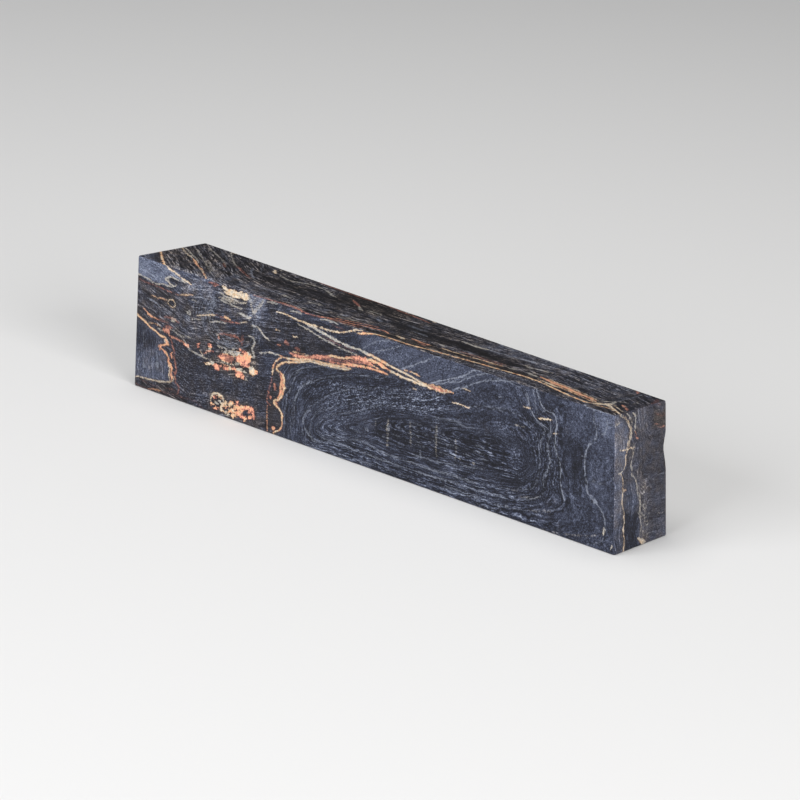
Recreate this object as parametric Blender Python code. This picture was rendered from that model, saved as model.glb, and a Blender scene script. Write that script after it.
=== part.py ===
"""A sawn and sanded blank of dyed box elder burl: one solid piece of wood, lying on its long edge.

The faces are flat but not quite square to each other, as a bandsaw leaves them. The edges are eased by
sanding, one long edge is worn rounder near its left end, and a shallow natural hollow breaks the back edge
at the right end. Lengths are in metres. +X runs along the blank, +Y away from the front face, +Z up.
"""

import math

import bmesh
import bpy

# Driving dimensions: the length and width on the base, and the height in the middle of the top
LENGTH = 0.160
WIDTH = 0.0203
HEIGHT = 0.0328

# How far each sawn face is off square, in degrees: a turn about the vertical, and a lean from the vertical
FRONT_TURN, FRONT_LEAN = 0.7, 0.7
BACK_TURN, BACK_LEAN = -0.7, -0.7
LEFT_TURN, LEFT_LEAN = 2.4, 1.8
RIGHT_TURN, RIGHT_LEAN = -2.7, -2.7
TOP_FALL_ALONG, TOP_FALL_ACROSS = -0.5, -1.9

# Edges
ARRIS_RADIUS = 0.00040
ARRIS_STEPS = 4
WORN_EDGE_RADIUS = 0.00120
WORN_EDGE_FROM, WORN_EDGE_TO = 0.004, 0.052

# The hollow in the back face at the right end
HOLLOW_DEPTH = 0.00080
HOLLOW_BOTTOM, HOLLOW_TOP = 0.0148, 0.0249
HOLLOW_SKEW = 1.4
HOLLOW_REACH = 0.020
HOLLOW_ROWS = 10

# How many sections the block is lofted through, along its plain length and along the hollow
PLAIN_STATIONS = 20
HOLLOW_STATIONS = 8
SETTLING_ROUNDS = 4
SHARP_ANGLE = 30

WOOD_COLOR = (0.038, 0.041, 0.053, 1.0)
WOOD_ROUGHNESS = 0.42


def slope(degrees):
    return math.tan(math.radians(degrees))


def bump(value, low, high, skew=1.0):
    """A smooth hump from low to high, and 0 outside. A skew over 1 moves its peak towards high."""
    share = (value - low) / (high - low)
    if not 0.0 < share < 1.0:
        return 0.0
    return math.sin(math.pi * share**skew) ** 2


def front_y(x, z):
    return slope(FRONT_TURN) * (x - LENGTH / 2) + slope(FRONT_LEAN) * z


def hollow_depth(x, z):
    """How far the hollow goes in from the back face: deepest at the right end, and gone a short way along."""
    along = min(max((x - (LENGTH - HOLLOW_REACH)) / HOLLOW_REACH, 0.0), 1.0)
    return HOLLOW_DEPTH * along**2 * (3 - 2 * along) * bump(z, HOLLOW_BOTTOM, HOLLOW_TOP, HOLLOW_SKEW)


def back_y(x, z):
    flat = WIDTH + slope(BACK_TURN) * (x - LENGTH / 2) + slope(BACK_LEAN) * z
    return flat - hollow_depth(x, z)


def top_z(x, y):
    return HEIGHT + slope(TOP_FALL_ALONG) * (x - LENGTH / 2) + slope(TOP_FALL_ACROSS) * (y - WIDTH / 2)


def left_x(y, z):
    return slope(LEFT_TURN) * y + slope(LEFT_LEAN) * z


def right_x(y, z):
    return LENGTH + slope(RIGHT_TURN) * y + slope(RIGHT_LEAN) * z


def worn_radius(x):
    """The radius of the front top edge, which is worn rounder over a stretch near the left end."""
    return ARRIS_RADIUS + (WORN_EDGE_RADIUS - ARRIS_RADIUS) * bump(x, WORN_EDGE_FROM, WORN_EDGE_TO)


def ring_points():
    """One loop round the section: each point is (how its y is found, how its z is found)."""
    quarter = [math.pi / 2 * step / ARRIS_STEPS for step in range(ARRIS_STEPS + 1)]
    points = [("front", "base", angle) for angle in quarter]
    points += [("back", "base", math.pi / 2 - angle) for angle in quarter]
    for row in range(HOLLOW_ROWS):
        height = HOLLOW_BOTTOM + (HOLLOW_TOP - HOLLOW_BOTTOM) * row / (HOLLOW_ROWS - 1)
        points.append(("back", height, None))
    points += [("back", "top", angle) for angle in quarter]
    points += [("front", "top", math.pi / 2 - angle) for angle in quarter]
    return points


def section_point(side, level, angle, x, inset):
    """The y and z of one point of the section at x, with the whole section drawn in by inset.

    At an edge, angle runs over the rounding: 0 where it meets the front or back face and a quarter turn
    where it meets the base or the top. On the plain back face, level is the height itself.
    """
    if angle is None:
        return back_y(x, level) - inset, level
    radius = worn_radius(x) if (side, level) == ("front", "top") else ARRIS_RADIUS
    reach = radius * (1 - math.cos(angle)) + inset
    drop = radius * (1 - math.sin(angle)) + inset
    height = HEIGHT if level == "top" else 0.0
    y = front_y(x, height) + reach if side == "front" else back_y(x, height) - reach
    z = top_z(x, y) - drop if level == "top" else drop
    lean = slope(FRONT_LEAN if side == "front" else BACK_LEAN) * (z - height)
    return y + lean, z


def stations():
    """Each station is (share of the length, distance kept from the end planes, inset of the section)."""
    rounding = [math.pi / 2 * step / ARRIS_STEPS for step in range(ARRIS_STEPS + 1)]
    ends = [(ARRIS_RADIUS * (1 - math.cos(a)), ARRIS_RADIUS * (1 - math.sin(a))) for a in rounding]
    plain_to = 1 - HOLLOW_REACH / LENGTH
    between = [plain_to * step / PLAIN_STATIONS for step in range(1, PLAIN_STATIONS + 1)]
    between += [
        plain_to + (1 - plain_to) * step / (HOLLOW_STATIONS + 1) for step in range(1, HOLLOW_STATIONS + 1)
    ]
    left = [(0.0, away, inset) for away, inset in ends]
    right = [(1.0, -away, inset) for away, inset in reversed(ends)]
    return left + [(share, 0.0, 0.0) for share in between] + right


def place(side, level, angle, share, away, inset):
    """A point on the skin. The end planes lean, so x depends on y and z: a few rounds settle all three."""
    x = LENGTH * share
    for _ in range(SETTLING_ROUNDS):
        y, z = section_point(side, level, angle, x, inset)
        x = left_x(y, z) * (1 - share) + right_x(y, z) * share + away
    y, z = section_point(side, level, angle, x, inset)
    return x, y, z


def block_mesh():
    shape = bmesh.new()
    rings = []
    for share, away, inset in stations():
        ring = [shape.verts.new(place(*point, share, away, inset)) for point in ring_points()]
        rings.append(ring)
    for ring, following in zip(rings, rings[1:]):
        for index in range(len(ring)):
            after = (index + 1) % len(ring)
            shape.faces.new((ring[index], ring[after], following[after], following[index]))
    shape.faces.new(rings[0])
    shape.faces.new(rings[-1])
    bmesh.ops.recalc_face_normals(shape, faces=shape.faces)

    # The origin is the middle of the base of the bounding box
    middle_x = (min(v.co.x for v in shape.verts) + max(v.co.x for v in shape.verts)) / 2
    middle_y = (min(v.co.y for v in shape.verts) + max(v.co.y for v in shape.verts)) / 2
    bmesh.ops.translate(shape, verts=shape.verts, vec=(-middle_x, -middle_y, 0.0))

    mesh = bpy.data.meshes.new("burl_block")
    shape.to_mesh(mesh)
    shape.free()
    mesh.shade_smooth()
    mesh.set_sharp_from_angle(angle=math.radians(SHARP_ANGLE))
    return mesh


def wood_material():
    material = bpy.data.materials.new("dyed_burl_wood")
    material.use_nodes = True
    surface = material.node_tree.nodes["Principled BSDF"]
    surface.inputs["Base Color"].default_value = WOOD_COLOR
    surface.inputs["Roughness"].default_value = WOOD_ROUGHNESS
    surface.inputs["Metallic"].default_value = 0.0
    return material


def main():
    for thing in list(bpy.data.objects):
        bpy.data.objects.remove(thing)
    mesh = block_mesh()
    mesh.materials.append(wood_material())
    block = bpy.data.objects.new("burl_block", mesh)
    bpy.context.scene.collection.objects.link(block)


main()
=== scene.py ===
"""The looks of a dyed, stabilised box elder burl blank: its wood figure on all six faces, and a plain studio.

The figure is drawn on an unrolled chart of the block, in millimetres: along the length, then up the front
face, back over the top, down the back face and in along the base. Each end face has a chart of its own beside
it. Veins are lines with a half-width, and patches are outlines that change the wood's tone. Both are turned
into mesh attributes, and the material adds pores, flecks and ragged edges to them. A few pale patches and
lines along the rounded top front edge are painted highlights.
"""

import math

import bmesh
import bpy
import numpy as np
from mathutils import Matrix, Vector
from mathutils.bvhtree import BVHTree


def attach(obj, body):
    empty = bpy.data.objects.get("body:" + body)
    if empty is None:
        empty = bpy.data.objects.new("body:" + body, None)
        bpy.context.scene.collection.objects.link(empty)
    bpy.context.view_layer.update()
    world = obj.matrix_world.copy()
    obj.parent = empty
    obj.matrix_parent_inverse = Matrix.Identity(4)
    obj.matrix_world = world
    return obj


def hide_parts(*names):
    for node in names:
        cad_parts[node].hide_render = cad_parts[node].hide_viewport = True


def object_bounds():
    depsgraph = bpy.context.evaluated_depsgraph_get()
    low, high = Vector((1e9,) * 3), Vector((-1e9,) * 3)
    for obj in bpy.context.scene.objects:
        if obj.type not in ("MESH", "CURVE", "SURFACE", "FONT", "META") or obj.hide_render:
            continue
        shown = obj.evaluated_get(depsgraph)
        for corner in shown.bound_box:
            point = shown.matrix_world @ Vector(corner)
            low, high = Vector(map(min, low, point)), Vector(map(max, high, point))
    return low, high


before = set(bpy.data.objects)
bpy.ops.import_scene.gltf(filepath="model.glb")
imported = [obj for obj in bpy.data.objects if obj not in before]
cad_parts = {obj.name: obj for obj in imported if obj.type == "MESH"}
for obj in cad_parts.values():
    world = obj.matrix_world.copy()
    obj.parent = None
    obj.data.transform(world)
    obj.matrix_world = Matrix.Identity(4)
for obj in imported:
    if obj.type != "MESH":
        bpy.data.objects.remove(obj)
cad_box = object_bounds()

NODE = "burl_block"
PIECE = "figured_block"
MM = 0.001
TINY = 1e-6

# The camera, from the left end of the block's foot line: where it is, where it looks, and its lens
CAMERA_AT = Vector((0.71353, -0.61860, 0.31591))
AZIMUTH, ELEVATION, ROLL = 45.107, 18.681, 1.198
LENS_MM, SENSOR_MM = 180.0, 36.0
NEAREST_SEEN, FARTHEST_SEEN = 0.05, 20.0

# The block's mesh, in mm: the spacing of its points, and the close rows at its rounded edges
GRID_STEP = 0.46
EDGE_ROWS = (0.15, 0.40)

# The block's size on the chart, in mm, and how far its front foot line is in from the box's low side
BLOCK_LENGTH, FACE_HEIGHT = 160.0, 33.0
FOOT_LINE_IN = 0.97

# The chart: where it starts, how far the base may run past its start, and where the ends' charts start
CHART_START, BASE_ROOM = -1.0, 40.0
RIGHT_CHART, LEFT_CHART = 200.0, -60.0
END_MIDDLE, END_REACH = 10.0, 20.0

# How veins are drawn, in mm: how closely a curve is followed, and the ends' taper with the share left there
ROUTE_STEP = 0.4
TAPER, TAPER_LEFT = 1.2, 0.35
ELLIPSE_POINTS = 20

# How veins are stored: each in one layer, with room kept round it and a fade past its edge
LAYERS = 6
CLEARANCE, REACH = 1.0, 1.5
FADE_FROM, FADE_RATE = 0.5, 3.0
FAR, OFF = 5.0, -1.0
PER_VECTOR = 3

# Vein colours, as places on the material's colour ramp
GREY, BONE, CREAM, TAN, ORANGE, PEACH, RED = 0.0, 1 / 6, 2 / 6, 3 / 6, 4 / 6, 5 / 6, 1.0


# Making the block's mesh

def grid_places(length):
    """Shares of the way along one edge of the block: close rows at each end, and even ones between."""
    first, last = EDGE_ROWS[-1], length - EDGE_ROWS[-1]
    count = round((last - first) / GRID_STEP)
    between = np.linspace(first, last, count + 1)[1:-1]
    return np.concatenate([[0.0], EDGE_ROWS, between, length - np.array(EDGE_ROWS[::-1]), [length]]) / length


def block_corners(points):
    """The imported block's eight corners, indexed by left or right, front or back, and low or high."""
    middle = (points.min(0) + points.max(0)) / 2
    corners = np.zeros((2, 2, 2, 3))
    for i, j, k in np.ndindex(2, 2, 2):
        towards = np.array([i, j, k]) * 2 - 1
        corners[i, j, k] = points[np.argmax((points - middle) @ towards)]
    return corners


def between_corners(corners, shares):
    """Points inside the block's eight corners, at shares of its length, depth and height."""
    result = np.zeros_like(shares)
    for i, j, k in np.ndindex(2, 2, 2):
        weight = np.ones(len(shares))
        for axis, end in enumerate((i, j, k)):
            weight *= shares[:, axis] if end else 1 - shares[:, axis]
        result += weight[:, None] * corners[i, j, k]
    return result


def grid_quads(index):
    """The quads of the six faces of a grid box, all facing outwards."""
    quads = []
    last = [size - 1 for size in index.shape]
    for sheet, flipped in (
        (index[0], True), (index[last[0]], False),
        (index[:, 0], False), (index[:, last[1]], True),
        (index[:, :, 0], True), (index[:, :, last[2]], False),
    ):
        a, b, c, d = sheet[:-1, :-1], sheet[1:, :-1], sheet[1:, 1:], sheet[:-1, 1:]
        loop = (a, d, c, b) if flipped else (a, b, c, d)
        quads.append(np.stack([part.ravel() for part in loop], axis=1))
    return np.concatenate(quads)


class Block:
    """The dense mesh of the block, with each vertex's place on the chart."""

    def __init__(self, node):
        surface = bmesh.new()
        surface.from_mesh(node.data)
        tree = BVHTree.FromBMesh(surface)
        surface.free()
        solid = np.array([vertex.co for vertex in node.data.vertices])
        self.low = solid.min(0)
        places = [grid_places(length) for length in np.ptp(solid, axis=0) / MM]
        self.last = [len(row) - 1 for row in places]
        steps = np.stack(np.meshgrid(*[np.arange(n + 1) for n in self.last], indexing="ij"), axis=-1)
        outside = np.any((steps == 0) | (steps == np.array(self.last)), axis=-1)
        index = np.full(outside.shape, -1)
        index[outside] = np.arange(outside.sum())
        self.quads = grid_quads(index)
        self.steps = steps[outside]
        shares = np.stack([places[axis][self.steps[:, axis]] for axis in range(3)], axis=1)
        rough = between_corners(block_corners(solid), shares)
        self.points = np.array([tree.find_nearest(Vector(point))[0] for point in rough])

    def figure_places(self):
        """Each vertex's place in mm: along from the left end, in from the foot line, and up."""
        places = (self.points - self.low) / MM
        places[:, 1] -= FOOT_LINE_IN
        return places

    def chart(self):
        """Each vertex's place on the unrolled chart."""
        x, y, z = self.figure_places().T
        i, j, k = self.steps.T
        on_top = k == self.last[2]
        on_back = (j == self.last[1]) & ~on_top
        on_base = (k == 0) & (j > 0) & ~on_back
        up = z.copy()
        up[on_top] = TOP.height(x[on_top], y[on_top])
        up[on_back] = BACK.height(x[on_back], z[on_back])
        up[on_base] = BASE.height(x[on_base], y[on_base])
        along = x.copy()
        for end, face in ((0, LEFT), (self.last[0], RIGHT)):
            here = i == end
            along[here] = face.start + y[here]
            up[here] = z[here]
        return np.stack([along, up], axis=1)


# The chart of the four long faces: each runs on from the one before

def edge_line(left, right):
    """A straight edge's height or depth in mm, from its values at the left and right ends."""
    return lambda x: left + (right - left) * np.asarray(x, dtype=float) / BLOCK_LENGTH


front_edge_z = edge_line(33.85, 32.39)
front_edge_y = edge_line(-0.56, 1.37)
back_edge_y = edge_line(20.87, 18.93)
back_edge_z = edge_line(33.13, 31.81)
back_foot_y = edge_line(21.28, 19.32)


def back_start(x):
    return front_edge_z(x) + back_edge_y(x) - front_edge_y(x)


def base_start(x):
    return back_start(x) + back_edge_z(x)


def base_end(x):
    return base_start(x) + BASE_ROOM


class LongFace:
    """One long face of the chart: where it starts and ends, and how high on the chart a place on it is."""

    def __init__(self, start, end, height):
        self.start = start
        self.end = end
        self.height = height

    def places(self, route):
        """A route's places on the chart. A half-width after a place is kept."""
        return [(x, float(self.height(x, other)), *rest) for x, other, *rest in route]

    def holds(self, places):
        """Which places of the chart are on this face."""
        x, up = places.T
        beside = np.abs(x - BLOCK_LENGTH / 2) < BLOCK_LENGTH
        return beside & (up >= self.start(x)) & (up < self.end(x))


FRONT = LongFace(edge_line(CHART_START, CHART_START), front_edge_z, lambda x, z: z)
TOP = LongFace(front_edge_z, back_start, lambda x, y: front_edge_z(x) + (y - front_edge_y(x)))
BACK = LongFace(back_start, base_start, lambda x, z: back_start(x) + (back_edge_z(x) - z))
BASE = LongFace(base_start, base_end, lambda x, y: base_start(x) + (back_foot_y(x) - y))


class EndFace:
    """An end face's chart: places are (in from the foot line, up)."""

    def __init__(self, start):
        self.start = start

    def places(self, route):
        return [(self.start + y, z, *rest) for y, z, *rest in route]

    def holds(self, places):
        """Which places of the chart are on this face."""
        return np.abs(places[:, 0] - self.start - END_MIDDLE) < END_REACH


RIGHT = EndFace(RIGHT_CHART)
LEFT = EndFace(LEFT_CHART)


# The figure, in mm. A vein is (colour, strength, half-width, route), where a route's points may each have a
# half-width of their own

FRONT_VEINS = [
    # The pale corner at the left end, and the hook in it
    (CREAM, .9, .2, [(11, 33.7), (12.5, 33.1), (14.5, 32.5), (16.5, 31.9), (18.5, 31.3), (20.5, 30.8)]),
    (BONE, .68, .17, [(-.5, 29.3), (1.5, 29.1), (3.8, 28.8), (5.3, 28.7), (6.4, 28.2), (8.5, 28.1),
        (10, 28.6), (12.5, 28.5), (14, 28.8), (15.3, 29.5)]),
    (BONE, .76, .2, [(19.5, 30.9), (17, 31), (15, 30.9), (13.4, 31.1), (12.2, 30.8), (11.2, 30.1),
        (12.1, 29.6), (13.2, 29.1), (14.4, 28.9)]),
    (RED, .45, .12, [(1, 28.1), (3.5, 27.7), (7.5, 27.6), (10, 27.5), (13, 27.2), (15.8, 27.1)]),
    (TAN, .6, .16, [(15.5, 27.1), (17.5, 27.5), (19.5, 28), (21.2, 28.4)]),
    (TAN, .6, .13, [(6, 24.8), (8, 24.7), (9.5, 24.8), (11.8, 24.7)]),
    (GREY, .6, .16, [(4.5, 23.8), (5.5, 23.7), (7, 23.5), (8.3, 23.1), (9.6, 22.3)]),
    (GREY, .5, .14, [(9.3, 21.9), (10.7, 21.7), (12.4, 21.4)]),
    (GREY, .45, .14, [(11.2, 22.4), (13.2, 22.1)]),
    # The rust and cream lines that cross the left end
    (ORANGE, .74, .18, [(3.1, 20.8), (4.3, 20.4), (4.9, 19.8), (5.6, 19.5), (7, 19.3), (8.6, 19.1)]),
    (RED, .46, .22, [(7.6, 19.2), (10, 19.3), (12.8, 19.2)]),
    (RED, .45, .2, [(10.6, 20.3), (13, 20.7), (14.5, 20.5), (16.4, 20.1)]),
    (TAN, .87, .24, [(-.5, 19.2), (2, 18.2), (3.3, 17.7), (4.7, 17.1), (5.5, 16.6), (6.7, 16.3),
        (8.2, 15.8), (9.5, 15.3), (10.6, 15.2), (11.8, 15.1)]),
    (TAN, .46, .12, [(4.8, 17.3), (6.5, 17.7), (8.5, 17.8), (9.9, 17.3)]),
    (BONE, .51, .29, [(8.4, 16.7), (9.6, 16.7), (10.6, 16.4)]),
    (PEACH, .48, .2, [(12.4, 16.4), (13.5, 15.9), (15, 15.8), (17, 15.6), (18.2, 15.6)]),
    (BONE, .44, .24, [(16, 16.6), (17.6, 17.1), (19.2, 17.2), (20.6, 17.3)]),
    (BONE, .4, .18, [(13, 17.7), (14.6, 17.5), (16.6, 16.8)]),
    (BONE, .56, .2, [(18, 16.2), (18.6, 15.6), (19.2, 14.9), (20, 14.3), (21.2, 14), (22.4, 13.8),
        (24, 13.6), (25.4, 13.4), (26.8, 13.5)]),
    (CREAM, .6, .16, [(23.8, 14.9), (24.4, 14.3), (25.2, 13.7)]),
    # The ragged rust vein and its red outer line
    (ORANGE, .76, .3, [(11.2, 14.8, .23), (11.8, 14.2, .4), (12.3, 13.7, .36), (11.3, 13.3, .22),
        (10.3, 13, .3), (9.6, 12.6, .4), (9.4, 12.1, .26), (10.4, 11.9, .2), (11.5, 11.3, .3),
        (12.4, 10.6, .26), (12.6, 9.9, .36), (12.3, 9.4, .26), (12.9, 8.9, .34), (13.6, 8.3, .42),
        (13.7, 7.5, .3), (13.5, 6.8, .18), (13.4, 6, .24), (13.9, 5.5, .3), (13.7, 4.7, .18)]),
    (CREAM, .76, .16, [(12, 9.1), (12.8, 8.2), (12.9, 7), (12.8, 6), (12.9, 5), (13.3, 4.3)]),
    (ORANGE, .81, .22, [(14.1, 12), (13.3, 11.3), (13.8, 10.7), (13.6, 10.2)]),
    (CREAM, .65, .14, [(14.7, 6), (14.5, 5.2), (14.1, 4.6), (13.2, 4.2), (12.2, 3.9), (11, 3.7), (9.5, 3.4),
        (8, 3.2), (6, 3), (4.5, 2.9), (2.5, 2.8), (1.2, 2.6), (-.5, 2.3)]),
    (RED, .53, .2, [(13.2, 15.3), (13.8, 14.2), (14.1, 13.2), (14.6, 12.3), (14.5, 11), (15, 9.8),
        (15.1, 8.8), (15.4, 7.6), (15, 6.6), (15.2, 5.4), (15, 4.6), (16, 4.1), (16.5, 3.2), (16.2, 2.3),
        (15.6, 1.5)]),
    (RED, .31, .13, [(.5, .7), (3, .35), (5.2, .35)]),
    (ORANGE, .46, .18, [(5.2, .35), (6.5, .75), (8, .9), (10, 1.1)]),
    (RED, .21, .14, [(2.4, 2.1), (5, 1.9), (7, 1.7), (9.2, 1.9)]),
    (RED, .23, .14, [(9.5, .9), (13, 1.1), (16, 1.3), (19, 1.5), (21, 1.6), (22.6, 1.4), (24, .8),
        (25.4, .3)]),
    (RED, .25, .14, [(11.6, 2.2), (13.8, 2.4), (15.7, 2.3)]),
    # Rays in the pale lower corner
    (GREY, .37, .14, [(3.2, 16), (3.2, 14), (3.4, 12), (3.3, 10), (3.6, 8), (3.5, 5.3)]),
    (GREY, .3, .15, [(6.6, 13.6), (6.6, 11), (6.9, 9)]),
    (GREY, .45, .3, [(8.2, 11), (8.4, 9), (8.5, 7), (8.4, 5.8)]),
    (GREY, .28, .12, [(10.2, 12), (9.9, 9.4), (10.4, 7)]),
    # Pale curls between the eyes and the solid cream patch
    (GREY, .6, .18, [(30.5, 28.8), (29.3, 28.9), (28.2, 28.4), (27.5, 27.5), (27.7, 26.4), (28.6, 25.7)]),
    (GREY, .5, .14, [(27, 30.4), (27.5, 29.2), (28, 28.2), (28.9, 27.2)]),
    (GREY, .55, .14, [(29, 30), (28.5, 29), (28.9, 28), (29.8, 27)]),
    (GREY, .45, .13, [(26, 28.2), (26.6, 27.2), (27.4, 26.2)]),
    (BONE, .6, .16, [(31, 17.3), (32, 17.6), (33.5, 17.3), (35, 16.6), (36, 16.2)]),
    (RED, .6, .16, [(30.3, 20.5), (32, 21), (34, 21.2), (36, 21.6), (36.8, 21.9)]),
    (RED, .6, .18, [(34.5, 20.9), (36.5, 21.3), (37.8, 20.9), (38.8, 20.2)]),
    (GREY, .5, .14, [(30, 20.4), (29.8, 19.6), (30.5, 18.9), (32, 18.7), (34, 18.6), (36, 18.9),
        (38, 19.4)]),
    (BONE, .6, .22, [(40.5, 22.6), (42, 22.7), (43, 22.2), (43, 21), (42.3, 20), (42.6, 18.8), (43.2, 17.8),
        (42.3, 17.4)]),
    (PEACH, .6, .18, [(25.7, 14.6), (26.3, 15.1), (27.2, 15.5), (27.6, 16)]),
    (CREAM, .7, .26, [(28, 2.9), (28, 3.8), (28.5, 4.7), (29.5, 5.3), (30.6, 5.5), (31.8, 5.2), (32.4, 4.5),
        (32.5, 3.7)]),
    (CREAM, .8, .16, [(22.5, 23.3), (24, 23.8), (25.1, 24.1), (26.5, 24.5), (28, 24.9), (29.4, 25.1)]),
    (BONE, .5, .12, [(20.7, 22.1), (22.6, 22.6), (24.4, 22.8)]),
    (BONE, .4, .12, [(20.4, 26.9), (21.5, 27.1), (23.1, 26.9)]),
    (PEACH, .5, .15, [(29.2, 25.2), (31, 25.1), (32.4, 25.2)]),
    (TAN, .8, .32, [(32, 25.3), (33.2, 25.4), (34.6, 25.2)]),
    (RED, .5, .15, [(31, 24.3), (33.5, 24.5), (36, 24.8), (37.8, 25)]),
    (BONE, .6, .14, [(27.2, 22.8), (29, 23.4), (30.5, 23.8), (33.2, 23.9)]),
    (BONE, .4, .13, [(25.5, 24.8), (26.8, 25.5), (27.6, 26.2)]),
    # The solid cream patch and the streaks under it
    (CREAM, .85, .5, [(31.3, 32.9, .12), (32.6, 32.5, .34), (34, 32.3, .5), (36, 32.3, .5),
        (38.5, 32.2, .7), (40.2, 32.1, .85)]),
    (CREAM, .85, .4, [(32.3, 31.8), (33.3, 31.5), (34.6, 31.4), (36, 31.5), (38, 31.5)]),
    (BONE, .65, .2, [(30.6, 31.2), (32.5, 30.6), (35, 30.6), (37, 30.3), (39, 30.4), (40.3, 30.8)]),
    (BONE, .65, .2, [(31, 29.2), (33, 29.2), (35, 29), (36.7, 28.9), (38.8, 28.9)]),
    (BONE, .8, .28, [(37, 27.5), (38.4, 27.6), (39.6, 27.3), (40.8, 27.2), (41.8, 27.5)]),
    (CREAM, .7, .18, [(37.6, 25.2), (39, 25.6), (40.5, 25.9)]),
    (BONE, .75, .2, [(41.8, 25.4), (43, 25.6), (44.2, 25.5), (45, 25), (45.6, 24.5), (46.4, 24),
        (47.3, 23.5), (48.4, 23.1)]),
    (BONE, .55, .35, [(46, 33.1), (45.5, 31.9), (44.5, 30.9), (43.5, 30), (42.8, 29), (42, 28.1)]),
    (BONE, .45, .3, [(43.2, 32.8), (42.6, 31.6), (41.8, 30.7)]),
    (BONE, .5, .28, [(40.8, 32.9), (41.4, 31.4), (41.9, 30), (42.2, 28.8)]),
    (GREY, .5, .22, [(52.2, 32.8), (51.4, 31.8), (50.7, 30.9), (50, 29.8)]),
    (GREY, .37, .22, [(46.5, 29), (48, 28.8), (49.6, 28.9), (51.2, 28.3)]),
    (GREY, .37, .14, [(45, 27), (47, 27), (48.5, 26.6)]),
    # The pink line along the top edge, and pale lines under it
    (RED, .58, .16, [(42, 33.1), (45, 33.4), (48, 33.5), (51, 33.6), (55, 33.6), (57.2, 33.5), (59, 33.1),
        (61, 33), (63, 33), (65, 33.2), (66.5, 33.6), (70, 33.8), (74, 34.1), (78, 34.6)]),
    (RED, .55, .35, [(26.6, 32.8), (28.4, 32.7), (30, 32.9)]),
    (BONE, .6, .2, [(47, 32.6), (49, 32.9), (51, 33)]),
    (BONE, .55, .24, [(55, 32.3), (57, 32.4), (59.2, 32.4)]),
    (BONE, .6, .26, [(65.4, 32.5), (67.4, 32.9), (69.5, 33), (71.4, 32.7)]),
    (RED, .28, .17, [(69, 32.2), (71.5, 32), (73.2, 31.9)]),
    # The long cream veins of the middle
    (CREAM, .87, .16, [(50.4, 30.9), (52, 31.1), (55, 30.9), (57, 30.7), (59.5, 30.5), (62, 30.5),
        (64, 30.6), (66, 30.6), (68, 30.5), (70, 30.7), (72, 31), (73.5, 31.4), (75, 31.9), (76.3, 32.4),
        (77.8, 32.9), (79.4, 33.3)]),
    (BONE, .88, .26, [(60.2, 30.3), (62, 30.1), (64, 29.9), (66, 29.5), (68, 29.1), (70, 28.8), (72, 28.5),
        (74, 28.3)]),
    (BONE, .8, .28, [(72.5, 28.5), (75, 28.2), (77, 28.2), (79, 28.2), (81, 28), (82.4, 27.8)]),
    (TAN, .87, .3, [(80.6, 27.8), (82.5, 27.8), (84.2, 27.6), (85.7, 27.3), (87.2, 27), (88.6, 26.8)]),
    (CREAM, .87, .19, [(87, 27), (88.7, 26.8), (90.2, 26.6), (91.7, 26.4), (93.2, 26.2), (95, 26),
        (96.6, 25.7), (98.2, 25.4), (99.8, 25.2), (101, 25.2)]),
    (BONE, .64, .14, [(57.6, 29.7), (60, 29.3), (62, 29), (64, 28.5), (66, 28.1), (68, 27.8), (70, 27.5),
        (72, 27.2), (74, 27), (76, 26.9), (78.5, 26.8)]),
    (RED, .32, .14, [(66, 28.8), (70, 28.1), (74, 27.7), (78, 27.4)]),
    (CREAM, .9, .24, [(87.8, 25.7), (90, 25.4), (91.5, 25.3), (93, 25.1), (95, 25), (97, 24.9), (99, 24.8),
        (101, 24.8), (103, 24.8)]),
    (TAN, .68, .11, [(93.2, 26.9), (95, 27), (96.6, 26.9), (98.4, 26.6)]),
    (TAN, .85, .43, [(99.4, 25.2, .2), (101, 25.1, .45), (102.6, 25.1, .62), (104.4, 25, .68),
        (106, 25, .55), (107.4, 25.2, .26), (109.2, 25.4, .06)]),
    (RED, .8, .3, [(101.4, 25.2, .1), (103, 25.1, .3), (105, 25, .35), (107, 25.1, .12)]),
    (PEACH, .85, .6, [(73.8, 25.3, .1), (75.6, 25.6, .3), (77, 25.9, .5), (78.6, 26.1, .65),
        (80.3, 26.1, .72), (81.7, 25.9, .5), (83, 25.6, .2)]),
    (ORANGE, .95, .4, [(81, 26.6, .2), (82.6, 26.6, .38), (84.4, 26.5, .45), (86, 26.2, .42),
        (87.5, 25.9, .3), (89, 25.5, .1)]),
    (TAN, .8, .18, [(82.2, 25.2), (83.5, 25.5), (85.2, 25.1)]),
    # The rust boundary that falls to the left into the loop
    (BONE, .75, .14, [(44.6, 19.4), (46, 19.5), (47.3, 20), (48.5, 20.3), (50, 20.4), (52.4, 20.3)]),
    (TAN, .78, .26, [(51.6, 20.3, .1), (54, 20.3, .2), (56, 20.4, .28), (58, 20.8, .34), (59.5, 21.1, .38),
        (61, 21.6, .3), (62.5, 21.9, .22), (64, 22, .2), (66, 22, .26), (68, 22.2, .3), (70, 22.4, .34),
        (71.5, 22.6, .3), (73, 22.8, .3), (74.3, 22.8, .24), (76, 22.9, .06)]),
    (PEACH, .76, .34, [(55, 21.9, .1), (56.6, 21.7, .3), (58.3, 21.7, .4), (60, 21.9, .5),
        (61.5, 22.1, .42), (63, 22.6, .4), (64.5, 23.1, .4), (66, 23.4, .4), (67.5, 23.8, .34),
        (69, 24.2, .3)]),
    (RED, .5, .4, [(61, 22.1, .1), (64, 22.7, .24), (67, 23.1, .34), (70, 23.7, .4), (73, 24.2, .4),
        (76, 24.8, .4), (79, 25.2, .3), (82, 25.6, .1)]),
    (TAN, .85, .22, [(68, 24.2), (70, 24.6), (72, 24.7), (73.5, 24.9), (75, 25.3), (76.4, 25.6)]),
    (TAN, .6, .12, [(56, 22.4), (58, 22.5), (60, 22.5), (61.8, 22.7)]),
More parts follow.
